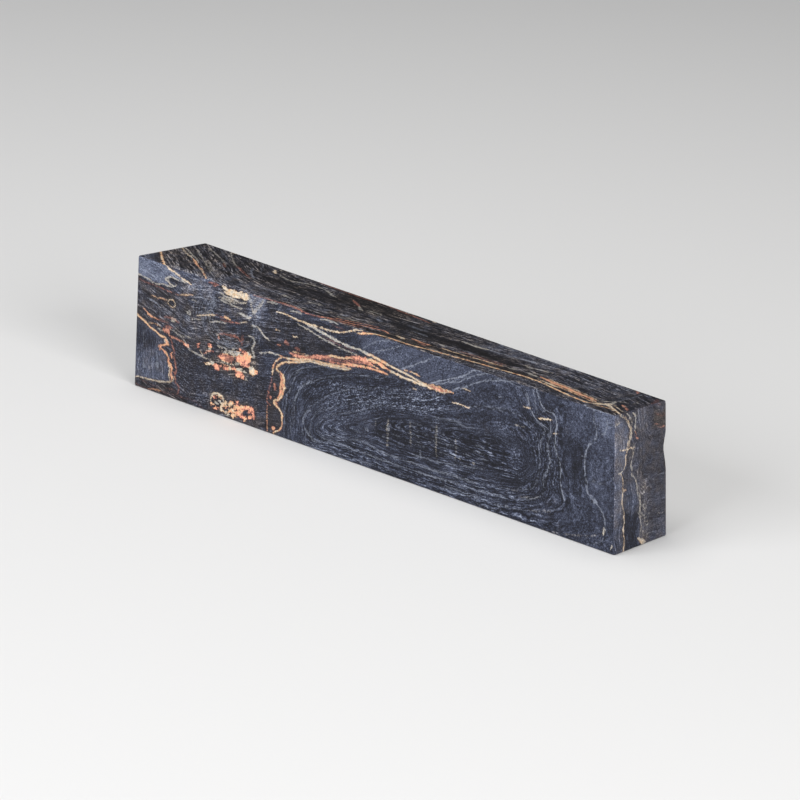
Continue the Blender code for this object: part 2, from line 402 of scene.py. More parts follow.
    (RED, .9, .34, [(68.8, 23, .1), (70.2, 23.2, .36), (71.6, 23.3, .3), (73, 23.4, .1)]),
    (ORANGE, .82, .32, [(72, 23.3, .12), (73.6, 23.5, .26), (75, 23.8, .4), (76.6, 24, .42),
        (78.5, 24.3, .34), (80, 24.5, .26), (82, 24.6, .24), (84, 24.7, .22), (86, 24.7, .24),
        (88.2, 24.5, .08)]),
    (CREAM, .85, .14, [(56.5, 19.9), (58, 20.2), (59.5, 20.6), (61, 21.1), (63, 21.5), (66, 21.6),
        (68, 21.8), (70, 21.9), (72, 22.1), (74, 22.3), (75.4, 22.6)]),
    # The loop
    (TAN, .85, .22, [(58.4, 20.2), (56, 19.7), (54, 19.2), (52.7, 18.7), (51.6, 17.9), (50.9, 17.3),
        (50.8, 16.7), (51.6, 16.4), (52.6, 16), (53.3, 15.3), (53.6, 14.4), (53.4, 13.4), (53.9, 12.8),
        (53.4, 12.2), (53.2, 11.3), (52.7, 10.4), (52.3, 9.6), (51.4, 9.1), (50.3, 8.8), (50.1, 8.1),
        (50.8, 7.6), (51.8, 7.1), (52.6, 6.5), (53, 5.7), (53, 4.5), (53.1, 3.4), (52.8, 2.4), (52.2, 1.8),
        (51.4, 1.3), (50.4, .9), (49.9, -.3)]),
    (ORANGE, .76, .27, [(51.9, 15.8), (52.6, 14.8), (52.5, 13.6), (52.3, 12.4), (52.5, 11.4), (52.1, 10.4),
        (51.3, 9.6)]),
    (ORANGE, .65, .18, [(50, 8.6), (50.9, 7.9), (51.7, 7.3)]),
    (TAN, .81, .19, [(52.5, 20), (51.2, 19.2), (50.3, 18.3), (49.8, 17.3), (49.6, 16.5), (49.5, 15.5),
        (49.4, 14.6)]),
    (RED, .42, .17, [(49.4, 14.8), (49.2, 13.6), (48.9, 12.6), (48.5, 11.4), (48.2, 10.2), (47.9, 9.2),
        (47.6, 8.3), (48, 7.6), (49, 7.2)]),
    (ORANGE, .48, .12, [(47.9, 7), (47.8, 5), (47.9, 3), (48, -.2)]),
    (PEACH, .76, .26, [(50.1, 12.9), (50.4, 12.2), (50.3, 11.5)]),
    # Ring lines to the right of the loop
    (GREY, .47, .17, [(55.2, 11.5), (55.8, 13), (56.4, 14.6), (57.2, 16.4), (58.2, 17.8), (59.8, 19)]),
    (GREY, .52, .17, [(56.6, 8.8), (57.5, 10.8), (58.5, 12.9), (59.6, 14.4), (61.4, 15.8), (63.5, 16.6)]),
    (GREY, .33, .13, [(54.6, 8), (54.6, 10), (55, 12.4)]),
    (GREY, .3, .15, [(56, 1), (56.1, 3.4), (56, 6)]),
    (GREY, .5, .3, [(60.3, 5.2), (60.4, 6.8), (61, 8.2), (62, 9), (63.2, 9.2)]),
    (GREY, .5, .32, [(60.6, 5), (61.3, 4), (62.3, 3.2), (63.6, 2.4), (65, 2)]),
    # Thin pale lines of the smooth upper field
    (GREY, .55, .1, [(79.6, 28.9), (81.5, 30), (83, 31), (84.5, 31.8), (86, 32.3), (88, 32.7),
        (90.8, 33.1)]),
    (GREY, .55, .1, [(82.4, 28.3), (84, 29.2), (86, 30), (88, 30.7), (90, 31.4), (91.5, 32.2),
        (93.2, 33.1)]),
    (GREY, .7, .14, [(92.2, 26.7), (94, 27.7), (96, 28.7), (97.7, 29.7), (99, 30.2), (100.5, 31), (102, 32),
        (103.5, 32.7), (105, 33.2)]),
    (GREY, .8, .15, [(101.6, 25.7), (104, 26.8), (106, 27.6), (108, 28.4), (110, 29.1), (111.5, 29.7),
        (113, 30.7), (114.5, 31.7), (116, 32.4), (117.9, 32.9)]),
    (GREY, .6, .14, [(103.5, 26), (106, 26.9), (108.5, 27.8), (110.5, 28.3), (112, 29.1), (114, 30.3),
        (116, 31.3), (118, 32.1), (120.6, 32.8)]),
    (GREY, .6, .13, [(108.6, 25.6), (110, 26.6), (112, 27.3), (114, 28.2), (115.8, 29.4), (117.5, 30.1),
        (120, 31), (123, 31.8), (126, 32.3), (128.4, 32.8)]),
    # Short bright flecks
    (CREAM, .9, .18, [(50.2, 26.5), (51.8, 26.4)]),
    (CREAM, .9, .18, [(56, 26.2), (57.9, 26.3)]),
    (PEACH, .7, .18, [(50.9, 22.9), (52.2, 23)]),
    (CREAM, .68, .14, [(95.8, 23.2), (97.6, 23.2)]),
    (CREAM, .81, .13, [(108.8, 23), (111, 23.1), (114.5, 23.1)]),
    (CREAM, .81, .14, [(111.7, 27.3), (113, 27.1), (114.5, 27.1)]),
    (CREAM, .77, .12, [(130.8, 27.6), (133.4, 27.8)]),
    (CREAM, .85, .15, [(135.6, 26), (137.5, 26.3), (139.8, 26.6)]),
    (CREAM, .77, .14, [(140.1, 23.6), (141.7, 23.9)]),
    (GREY, .55, .16, [(123, 28), (124.5, 28)]),
    (GREY, .4, .14, [(120.6, 24.6), (123, 24.8), (125.8, 25)]),
    (BONE, .4, .14, [(128.5, 22.7), (131.6, 22.8)]),
    # Ring lines at the right end
    (GREY, .69, .14, [(134.2, 33.4), (134.8, 32.3), (135.5, 30.8), (136.3, 29.5), (137, 28.7), (138, 28.4),
        (139.3, 28.4), (140, 28.2), (140.8, 27.5), (141.1, 26.6), (141.2, 25.5), (141, 24), (141, 22.5),
        (140.8, 21.5), (140.8, 20.5), (141.3, 19.5), (142, 18.5), (142.7, 17.5), (143, 16), (143, 14),
        (143.2, 12), (143.6, 11), (144, 10), (144.6, 8.8)]),
    (GREY, .45, .2, [(131.3, 31.8), (132.2, 30), (132.9, 28), (133.6, 26.9), (134.5, 26), (135.5, 25.2),
        (136.8, 24.6), (137.7, 24), (137.3, 22.4), (136.6, 20.6), (136.9, 18.4)]),
    (GREY, .46, .12, [(133.6, 32.3), (134.2, 30.6), (134.6, 28.8), (135.4, 27)]),
    (GREY, .51, .16, [(139, 25.9), (139.5, 24.2), (139.2, 22.5), (138.7, 21), (138.7, 19.8), (139.1, 18.7),
        (139.6, 17.5), (139.7, 16.3), (139.2, 15), (138.7, 14), (138, 13), (137.7, 11.8), (138.1, 10.3)]),
    (GREY, .55, .16, [(138.1, 28.4), (137.3, 28.1), (136.6, 27.6)]),
    (GREY, .64, .14, [(152, 31.4), (152.2, 29.5), (152.6, 28.5), (153.1, 27.5), (153.2, 26.8), (153, 26),
        (152.5, 25), (151.8, 24.2), (151, 23.5), (150.5, 22.8), (150.2, 21.5), (150, 20), (150, 18.5),
        (150.2, 17), (150.5, 16), (150.9, 15), (151.1, 14), (151, 13), (151.7, 12.1), (152.6, 11.4),
        (153.6, 11), (154.6, 10.4), (155.3, 9.6), (156, 8.9), (156.5, 8), (156.7, 6.8), (156.6, 5.6)]),
    (BONE, .65, .27, [(156.6, 6, .15), (156.6, 5, .35), (156.4, 4, .2)]),
    (GREY, .55, .18, [(155.9, 31.2), (156.1, 30), (156, 29), (155.7, 28), (155.2, 27.3), (154, 27)]),
    (BONE, .4, .24, [(158.4, 30.4), (157.4, 29.6)]),
    (BONE, .27, .11, [(142.4, .3), (144, .7), (146, 1.2), (148, 1.6), (150, 2), (152, 2.5), (154, 3.2),
        (155.6, 3.9)]),
    (BONE, .23, .11, [(137, .1), (139, .3), (141, .5), (142.8, .6)]),
    (BONE, .85, .18, [(159.1, 2.3, .06), (159.1, 1.8, .15), (158.8, 1.2, .16)]),
    (BONE, .29, .17, [(133.2, 3.6), (135, 3.9), (137, 4.3), (139, 4.8), (140.4, 5.2)]),
    (BONE, .26, .17, [(128.2, 7.1), (130.4, 7.6)]),
    (BONE, .29, .13, [(130, 6), (133, 6.5), (135, 7), (136.8, 7.6)]),
    # Rays that cross the rings
    (BONE, .35, .21, [(88.7, 14, .12), (88.6, 12.8, .3), (88.6, 11.4, .62), (88.6, 10.2, .32),
        (88.5, 8.6, .2), (88.5, 7.2, .3)]),
    (BONE, .35, .15, [(95.8, 14.8, .12), (95.8, 13.4, .2), (95.9, 12.1, .32), (96.1, 11.2, .15),
        (96.1, 10.2, .3), (96.2, 9, .1)]),
    (BONE, .36, .18, [(104.3, 16.5, .12), (104.2, 15.2, .25), (104.2, 13.4, .34), (104.2, 11.8, .22),
        (104.3, 9.8, .2), (104.5, 8.9, .25)]),
    (BONE, .24, .12, [(84.6, 12.8), (84.5, 10.8), (84.4, 9.4)]),
    (GREY, .5, .35, [(81, 9.6, .2), (81.7, 9.4, .45), (82.2, 9.1, .1)]),
    (GREY, .5, .22, [(99.3, 8.9, .15), (99.3, 8.1, .35), (99.4, 7.2, .15)]),
    (BONE, .34, .15, [(110.3, 14.6), (110.5, 12.8), (110.6, 10.9), (110.4, 9.2)]),
    (GREY, .54, .27, [(101.8, 11.6), (102.5, 11.6)]),
    (BONE, .5, .28, [(111.7, 10.2), (112.3, 10.2)]),
    (BONE, .5, .3, [(115.9, 10.2), (116.7, 10.1)]),
    (GREY, .35, .12, [(124.4, 4.2), (124.4, 1)]),
    # Long pale pore lines low on the face
    (GREY, .5, .17, [(96.6, 7.4), (99.5, 7.3), (102, 7.4), (105, 7.5), (107, 7.9), (111, 8.3)]),
    (GREY, .45, .15, [(70, 6.8), (73, 7.1), (75.4, 6.7)]),
    (GREY, .4, .15, [(75.4, 8.6), (78, 8.3), (79.8, 8)]),
    (GREY, .45, .17, [(77.6, 6), (80, 6.2), (82, 6.1), (84, 5.7), (85.6, 5.3), (88, 5.2), (92.4, 5.2)]),
    (GREY, .45, .17, [(66, 3.6), (70, 3.6), (74, 3.7), (77, 3.3), (80, 3.5), (84, 3.4), (87, 3.3),
        (90, 3.4), (93.4, 3.1)]),
    (GREY, .5, .17, [(95, 5.1), (98, 5.3), (101, 5.1), (105, 5.2), (108, 5.6), (111.4, 6)]),
    (GREY, .5, .17, [(98, 3.3), (102, 3.5), (106, 3.7), (109.6, 3.9)]),
    (GREY, .45, .3, [(110, 5.6), (113, 5.6), (116.6, 5.6)]),
    (GREY, .45, .15, [(105, 3.8), (108, 4.1), (112, 4), (117, 4), (121, 4.3), (124, 4.5), (127, 4.4)]),
    (GREY, .4, .3, [(106, 1.7), (108.5, 2.2), (112, 2.4), (116, 2.5), (120, 2.2)]),
    (GREY, .45, .15, [(117.6, .8), (121, 1), (124.6, .8)]),
    (GREY, .4, .15, [(111, 8.9), (115, 9), (118, 9.5), (120, 9.8)]),
    (GREY, .42, .16, [(103, 18), (107, 18.4), (110, 18.8), (113, 18.3), (116.4, 18.7)]),
    (GREY, .35, .16, [(95, 15), (97.6, 15), (99.6, 15)]),
    (GREY, .35, .16, [(97, 13.2), (99, 13.3), (101.6, 13)]),
]

TOP_VEINS = [
    # The pale line that comes over from the front, and the pair of rust lines above it
    (TAN, .95, .24, [(-.5, 8.1), (.6, 7.1), (2, 6), (4, 4.5), (6, 2.9), (8, 1.5), (9.5, .4), (11, -.4)]),
    (CREAM, .62, .22, [(-.5, 14.6), (1.5, 13.3), (3.5, 12.1), (5.5, 11), (7.5, 10.1), (9.5, 9.3),
        (11, 8.7)]),
    (BONE, .67, .17, [(1, 14.3), (3.5, 13.1), (5.5, 12.1), (7.5, 11.3), (9, 10.4), (11, 9.6), (13, 8.4),
        (14.6, 7.2)]),
    (ORANGE, .84, .24, [(11, 8.6), (12.6, 7.8), (14, 6.9), (15.6, 5.9), (17.2, 5)]),
    (TAN, .62, .19, [(17, 5.1), (19, 4.1), (21, 2.9), (23, 1.6), (24.5, .6), (25.6, -.1)]),
    (BONE, .45, .22, [(5, 15.1), (7, 13.8), (9, 12.6), (11, 11.4), (13, 10.2), (15, 9), (17.4, 7.4)]),
    (BONE, .45, .24, [(5.6, 18.5), (8.5, 17.2), (11, 16.1), (13.5, 15), (16, 13.8), (18, 12.6),
        (20, 11.2)]),
    (RED, .45, .22, [(18, 12.4), (20, 10.9), (21.4, 9.8)]),
    (BONE, .45, .22, [(12, 20.2), (14.5, 18.1), (16.5, 16.7), (18.5, 15.2), (20.5, 13.8), (22.5, 12.8)]),
    (RED, .4, .28, [(22, 13), (24.4, 12), (26.6, 10.8), (29, 9.7), (32, 8.5)]),
    (GREY, .5, .22, [(25.6, 15), (27.3, 13.2), (29, 11.5), (30.5, 10.6), (32.4, 9.2)]),
    (BONE, .39, .22, [(17, 7.6), (19, 6.4), (21, 5.2), (23.4, 3.2)]),
    (BONE, .39, .19, [(14.6, 10.6), (17, 8.8), (19.6, 7), (22.4, 4.8)]),
    (GREY, .39, .22, [(8, 20), (11, 18.4), (14, 16.6), (17, 14.6)]),
    (GREY, .34, .22, [(24, 20), (26, 18), (28, 15.8), (30, 13.6)]),
    (GREY, .45, .22, [(25, 8.6), (27.4, 7.4), (30, 6.8)]),
    (CREAM, .84, .49, [(30.2, 18.2, .2), (31.2, 17.3, .45), (32.5, 16.5, .2)]),
    (BONE, .45, .43, [(30.8, 19.7), (31.6, 18.9)]),
    (BONE, .5, .28, [(34, 16.2), (36.3, 15.7), (38, 15.1), (40, 15.3), (42, 16.1), (44.5, 16.9),
        (47.5, 16.9), (50, 16.6), (52, 15.8), (54, 14.8), (56, 14.3)]),
    # The pink line beside the edge, and the patches behind it
    (PEACH, .55, .13, [(50.6, .6), (53, .8), (55.4, .8), (57.6, .4), (59.6, 0)]),
    (BONE, .5, .43, [(46.6, 5.3), (48.4, 5.2), (50, 5)]),
    (BONE, .45, .43, [(54.4, 6.3), (57, 6.8), (59, 6.9)]),
    (RED, .62, .26, [(60, 16), (62, 15), (63.4, 14.3), (65, 13.4)]),
    (BONE, .5, .38, [(64.6, 13.6), (66, 12.4), (67.6, 11.8)]),
    (BONE, .45, .32, [(68, 12.6), (70.6, 13.2), (73.4, 12.6)]),
    (GREY, .56, .49, [(74.6, 9.8), (75.5, 9.5), (76.8, 9.2)]),
    (BONE, .39, .32, [(67, 3.9), (70, 4), (72.8, 4.5)]),
    (PEACH, .66, .16, [(64.6, .1), (67, .9), (69, 1.4), (71, 1.7), (73, 2.1), (75, 2.6), (76.5, 3.2),
        (78.5, 3.7), (81, 4.2), (83, 4.4), (85, 3.6)]),
    (CREAM, .62, .32, [(86.6, 4.3), (88.5, 3.9), (90.4, 3.6)]),
    (ORANGE, .62, .28, [(90.6, 5.4), (93, 5.2), (95.4, 5.1), (97.4, 5.3)]),
    (PEACH, .47, .15, [(68, 2.2), (72, 3.2), (76, 4.4), (80, 5.4)]),
    (RED, .56, .26, [(93.6, 4.2), (95, 4.4), (96.4, 4.1)]),
    (RED, .42, .22, [(104, 7.4), (108, 7.6), (113, 8), (118, 8.4)]),
    (TAN, .67, .19, [(99.6, 5.6), (101.4, 5.8), (103.4, 5.8), (105.6, 6), (108, 6.2), (110, 6.5),
        (112, 6.8), (115, 7), (118.6, 7.3)]),
    (TAN, .95, .22, [(77.6, -.7), (79, -.4), (80.4, 0), (82, .5), (84, 1.1), (86, 1.3), (88, 1.4),
        (90, 1.5), (92, 1.5), (94, 1.6), (96, 1.9), (98, 2.3), (100, 2.6), (102, 2.9), (104, 3.2),
        (106, 3.3), (108, 3.6), (110, 3.9), (112, 4.2), (115, 4.5), (118, 4.8), (121, 5.1), (124, 5.5),
        (127, 5.8), (130, 5.7), (133, 5.4), (136, 4.8), (139, 4.3), (142, 3.8), (145, 3.4), (148, 3.3),
        (149.4, 3.9)]),
    (BONE, .56, .38, [(99, 13.5), (101, 13.4), (103, 13.2), (105, 13.4), (107.6, 13.8)]),
    (BONE, .45, .38, [(97.6, 7.6), (98.8, 7.2), (99.8, 6.7)]),
    (GREY, .45, .32, [(82, 12.4), (84, 12.2), (86.4, 12), (88.8, 12.6)]),
    (GREY, .39, .32, [(86, 9.6), (89, 9.8), (92, 9.4)]),
    (BONE, .56, .32, [(120, 7.5), (122, 7.7)]),
    (BONE, .56, .38, [(124.6, 8.2), (126.6, 8.2), (128.4, 8)]),
    (ORANGE, .7, .5, [(128.6, 8.6, .1), (130.4, 8.2, .3), (132, 7.9, .46), (134, 7.6, .56), (137, 7.3, .6),
        (140, 6.9, .56), (143, 6.5, .5), (146, 6.1, .4), (148.6, 5.6, .16)]),
    (CREAM, .7, .14, [(131, 8.9), (134, 8.5), (138, 8.2), (142, 7.6), (146, 6.9), (149, 6)]),
    (TAN, .66, .16, [(133, 6.6), (137, 6.3), (141, 5.8), (145, 5.2), (148, 4.7), (150.2, 4.9)]),
    (CREAM, .78, .22, [(129.6, 6.9), (132, 6.5), (134, 6.2), (136.6, 5.9)]),
    (GREY, .5, .32, [(108, 13.6), (112, 14.1), (116, 14.6), (119, 15), (121.4, 15.4), (123.4, 16.6)]),
    (BONE, .45, .32, [(120.6, 12.3), (122.6, 11.3), (124.4, 12), (126, 12.5), (128.6, 12.9)]),
    (GREY, .39, .32, [(108, 18.4), (112, 18.2), (116, 18.6)]),
    (GREY, .39, .32, [(132, 12.5), (136, 11.6), (140, 11.4), (144, 12)]),
    (GREY, .34, .32, [(134, 16), (138, 15), (142, 15.4)]),
    # The knot at the right corner
    (CREAM, .81, .34, [(149, 3.6, .2), (150.4, 4.6, .34), (151.8, 5.6, .46), (153.2, 5.3, .38),
        (154.8, 4.6, .26), (156.4, 3.8, .26), (158.6, 2.9, .22)]),
    (BONE, .59, .3, [(151.8, 8.6, .3), (151.9, 7.4, .4), (152, 6.2, .4)]),
    (CREAM, .66, .14, [(147, 5.3), (149.6, 5.3), (151.6, 6.4), (153.6, 7)]),
    (TAN, .66, .13, [(150.2, 3.1), (152.4, 3.9), (154.6, 4), (156.8, 3.1)]),
    (CREAM, .6, .12, [(152.8, 6.6), (155, 5.8), (157.6, 4.6)]),
    (BONE, .55, .12, [(149, 6.6), (150.6, 7.6), (152, 9.4), (154, 10.4)]),
    (GREY, .45, .14, [(151.7, 20), (151.6, 17), (151.9, 14), (151.7, 11), (151.8, 8.6)]),
    (BONE, .41, .26, [(155.4, 8.6), (155, 7.8), (155.8, 7)]),
    (PEACH, .54, .22, [(154, 8.2), (155.8, 7.4), (157.6, 6.2)]),
    (BONE, .35, .25, [(154.4, 13), (155.2, 12), (155, 11)]),
    (RED, .5, .4, [(148.4, 19.4), (149.6, 18.4), (150.4, 17.4)]),
    (RED, .4, .4, [(156, 17.6), (157, 16), (157.6, 14)]),
    # Not part of the knot: a painted highlight along the rounded front edge, which the base repeats too.
    (GREY, .6, .16, [(148.5, .95), (151, 1.05), (154, 1.2), (157.6, 1.35)]),
]


# The fine arcs of the swirl round the eyes, about its middle, which is wider than it is high
SWIRL_X, SWIRL_Z, SWIRL_SQUASH, SWIRL_STEP = 34.5, 24.4, .72, 15


def swirl_arc(reach, start, end):
    """The route of one arc, from how far out it is and the angles in degrees that it runs between."""
    angles = [math.radians(turn) for turn in range(start, end, SWIRL_STEP)]
    return [(SWIRL_X + reach * math.cos(a), SWIRL_Z + SWIRL_SQUASH * reach * math.sin(a)) for a in angles]


FRONT_VEINS += [(GREY, .5, .1, swirl_arc(*arc)) for arc in (
    (5.4, 185, 300), (6.2, 140, 250), (6.8, 200, 325), (7.1, 130, 200), (7.6, 115, 290), (8.2, 325, 400),
    (8.5, 160, 330), (9, 125, 215), (9.3, 320, 395), (9.8, 175, 300), (10.4, 135, 230), (11.2, 145, 200),
    (12.2, 140, 190), (13.2, 150, 200), (10.6, 335, 385),
)]


def short_line(start, height, length, bow, rise):
    """The route of one short line along the block: it bows up by its middle and ends higher by the rise."""
    middle = [(start + length / 2, height + bow)] if bow else []
    return [(start, height), *middle, (start + length, height + rise)]


# The level pore lines that comb the dark heart: where each starts, its height and its length
FRONT_VEINS += [(GREY, .42, .12, short_line(*line, .15, 0)) for line in (
    (94.6, 11.9, 4.6), (96.4, 10.6, 3.4), (95.6, 13.9, 3.2), (97, 9.9, 4.4), (102.4, 15.6, 3.4),
    (101.8, 14.6, 5), (103.2, 13.3, 4.2), (102.6, 12.4, 6.4), (104.6, 11.3, 4), (105.2, 10, 4.6),
    (107.4, 13.9, 3), (108, 12.6, 3.4), (86.6, 9, 3.2), (89.4, 10.3, 3.4), (90.6, 8.6, 3.6),
    (91, 12.4, 2.6), (116, 14.6, 3.6), (115.4, 13.1, 4.4), (117.4, 11.8, 3.4), (117, 10.7, 4),
    (118.6, 16, 2.8), (112.8, 11.6, 2.4),
)]

RIGHT_VEINS = [
    (CREAM, .5, .19, [(1.6, 33.2, .16), (2.6, 32.5, .2), (3.6, 31.8, .22), (4.4, 31.2, .24),
        (5.1, 30.6, .26), (5.7, 29.8, .26), (6.3, 28.8, .3), (6.6, 28, .34), (6.6, 27, .36), (6.4, 26, .32),
        (5.9, 25.2, .38), (5.7, 24.5, .36), (5.4, 24, .24), (5.3, 23.3, .16)]),
    (CREAM, .55, .15, [(5.4, 23.7), (5.1, 22.8), (4.9, 21.8), (4.9, 20.8), (4.5, 19.7), (3.9, 19.2)]),
    (BONE, .72, .16, [(4.1, 19.3), (3.2, 18.7), (2.3, 18.7)]),
    (CREAM, .62, .12, [(3, 18.7), (3.6, 17.9), (3.9, 16.9), (3.9, 15.6), (4, 14.4), (3.8, 13.4),
        (3.6, 12.4), (3.7, 11.4), (3.9, 10.4), (4.2, 9.4), (4.3, 8), (4.4, 7), (4.2, 6), (4.1, 5), (4.1, 4),
        (4.4, 3), (4.4, 2), (4.2, 1), (4.1, -.3)]),
    (TAN, .5, .21, [(3.9, 14.8), (4.4, 14.3), (5.1, 14.5)]),
    (CREAM, .6, .11, [(2.6, 24.2), (4, 23.8), (5.2, 23.7), (6.5, 23.7), (8, 23.5)]),
    (BONE, .54, .17, [(5.2, 32), (6.1, 31.2), (6.8, 30.2), (7.1, 28.9)]),
    (BONE, .59, .2, [(7.2, 31.7), (8, 31.1), (8.2, 30), (8.1, 28.6), (8.1, 27.4)]),
    (PEACH, .41, .18, [(8, 27.3), (8.2, 26.6), (8.5, 25.8), (9.2, 25.3)]),
    (BONE, .45, .17, [(7.8, 24.4), (7.6, 23.2), (7.4, 22.2), (7, 21.2)]),
    (BONE, .54, .17, [(6.8, 20.8), (6.7, 19.8), (6.9, 18.8), (7, 17.6), (7.4, 16.8), (8.2, 16.4),
        (8.5, 15.7), (8.8, 14.8)]),
    (BONE, .42, .28, [(8.7, 15.2, .22), (8.9, 14, .34), (9.2, 12.8, .32), (9.6, 11.8, .3),
        (9.9, 10.9, .25)]),
    (BONE, .46, .18, [(9.8, 11), (9.9, 9.8), (9.9, 8.6), (9.7, 7.8), (9.9, 6.8), (10, 5.9), (10.2, 5.1)]),
    (BONE, .42, .3, [(9.2, 8.2, .18), (9.8, 7.7, .36), (10.4, 7.2, .3), (11.4, 6.8, .12)]),
    (CREAM, .63, .39, [(9.2, 2, .2), (10, 1.4, .4), (10.8, .9, .55), (11.6, .6, .3)]),
    (BONE, .2, .16, [(11, 16.2), (11.2, 14.6), (11, 13), (10.8, 11.6), (11.5, 11.3), (12.3, 11)]),
    (BONE, .32, .17, [(10.7, 9.8), (11.4, 8.2), (12, 6.6), (12.5, 5), (12.3, 3.4)]),
    (BONE, .32, .17, [(10.7, 4.4), (10.8, 3), (11.4, 1.8)]),
    (GREY, .36, .19, [(13.4, 4), (13.6, 2.6), (14.8, 2)]),
    (BONE, .24, .14, [(12, 7.3), (13.6, 6.7), (15.4, 6.4), (18, 5.8)]),
    (GREY, .3, .13, [(11.4, 32.2), (11.4, 30.5), (11.5, 29), (11.3, 27.5), (11.6, 25.8)]),
    (GREY, .22, .13, [(13.2, 31), (13.2, 29), (13, 27.6)]),
    (GREY, .36, .11, [(15, 15.8), (17, 15.2), (19.2, 15)]),
    (GREY, .32, .11, [(13.4, 14.9), (16, 14.3), (18.8, 13.9)]),
    (RED, .32, .22, [(14.8, 27.4), (16.4, 26.6), (18.9, 25.7)]),
    (RED, .22, .16, [(14.4, 32.7), (16, 31.9), (17.4, 30.9)]),
    (RED, .26, .24, [(15, 29.6), (17, 29), (19, 28.6)]),
    (BONE, .45, .16, [(.6, 29.7), (1.8, 30.3), (3.6, 30.5)]),
    (GREY, .27, .23, [(5.2, 8.8), (7, 9.6), (8.6, 9.4)]),
    (BONE, .45, .17, [(10, 2.4), (10.2, 4), (10.6, 5.4)]),
]

# The short pale dashes beside the second line of the right end: where each starts, and its height
RIGHT_VEINS += [(BONE, .42, .13, short_line(*dash, 1.5, 0, .2)) for dash in (
    (10.3, 14.6), (10.2, 13.5), (10.6, 12.3), (10.4, 9.2), (10.9, 8.3), (10.8, 6.1), (10.9, 5.2), (11.2, 4.3),
    (11, 3.1), (11.6, 2.2),
)]

LEFT_VEINS = [
    (CREAM, .9, .28, [(-1, 29.1), (1, 29.9), (3, 30.8), (5, 31.9), (7, 33), (8.2, 33.8)]),
    (TAN, .7, .22, [(14, 34), (12.4, 32.2), (11.6, 30), (11.9, 27.4), (13, 24.6), (13.2, 21.8)]),
    (TAN, .9, .3, [(-1, 18.8), (1.2, 19.4), (3.4, 19.2), (5.6, 20.3), (7.4, 22.2), (9.8, 23), (12.2, 22.2),
        (14.6, 22.6), (17, 24), (19.4, 24.6), (21.4, 24.4)]),
    (RED, .55, .22, [(-1, 27.9), (1.4, 27.6), (4, 28), (6.4, 28.9), (8.4, 30.2)]),
    (CREAM, .85, .2, [(-1, 2.3), (1.6, 2.9), (4, 4.2), (6, 4), (8.6, 4.9), (11, 6.9), (13.2, 7.4),
        (15.4, 9.2)]),
    (ORANGE, .85, .34, [(15, 9), (16.2, 10.4), (15.8, 12), (17, 13.2), (17.2, 15), (16.4, 16.6),
        (17.4, 18.4), (19, 19.2), (21.4, 19.4)]),
    (RED, .6, .24, [(13.6, 9.6), (14.6, 11.2), (14.4, 13), (15.4, 15), (15.2, 17.2)]),
    (BONE, .6, .2, [(4, 14.4), (6, 13.6), (8.2, 13.9), (10, 12.8)]),
    (BONE, .5, .18, [(17.6, 30.4), (18.8, 28.6), (19, 26.6)]),
    (GREY, .4, .2, [(2, 9), (4.2, 10.2), (6.6, 10), (9, 9.2)]),
    (GREY, .4, .2, [(2, 24), (4.6, 24.8), (7, 26)]),
    (BONE, .5, .16, [(8.6, 33.8), (9.6, 31.6), (9.8, 29), (10.6, 26.6), (10.4, 24.6)]),
    (RED, .45, .16, [(9, 30.4), (12, 30.8), (15, 30), (18, 30.6), (21.4, 30)]),
    (RED, .4, .14, [(8.4, 26.4), (12, 26.8), (16, 26), (20, 26.8)]),
    (BONE, .5, .15, [(-1, 25), (2, 25.6), (4.6, 27), (8, 27.4)]),
    (TAN, .5, .14, [(-1, 17.4), (1.4, 17.8), (3.4, 17.2)]),
    (GREY, .45, .16, [(3, 16.4), (3.4, 13.6), (2.8, 10.8), (3.4, 8)]),
    (GREY, .4, .16, [(6.4, 17.4), (6, 15), (6.8, 12.4), (6.4, 9.4), (7, 7)]),
    (GREY, .4, .14, [(9.6, 19.4), (9.2, 16.8), (10.2, 14.6), (9.8, 12)]),
    (GREY, .45, .16, [(12, 19.6), (12.6, 17), (11.8, 14.6), (12.4, 12.2), (11.8, 10)]),
    (BONE, .6, .18, [(17.8, 22.2), (18.8, 20.8), (20.6, 20.6)]),
    (RED, .45, .14, [(-1, .9), (3, 1.2), (8, 1.9), (12, 1.6), (16, 2.6), (21.4, 2.2)]),
    (BONE, .5, .16, [(17.6, 6.2), (18.8, 7.4), (20.2, 7.2), (21.4, 8.4)]),
]

LEFT_SPOTS = [
    (PEACH, .95, 18.4, 11.6, 1., .6, 10), (ORANGE, .9, 19.8, 12.4, .7, .5, 0),
    (CREAM, .9, 18.6, 13, .6, .35, 0), (TAN, .9, 19.6, 10.6, .6, .4, 0),
    (BONE, .8, 20.6, 11.4, .45, .35, 0), (PEACH, .7, 16.4, 27.6, .8, .4, 0),
    (TAN, .6, 5.2, 30.2, .9, .3, 20),
]
LEFT_EYES = [(TAN, .7, .16, 16.6, 28.2, 1.1, .9), (BONE, .5, .15, 5.4, 24.6, .7, .5)]

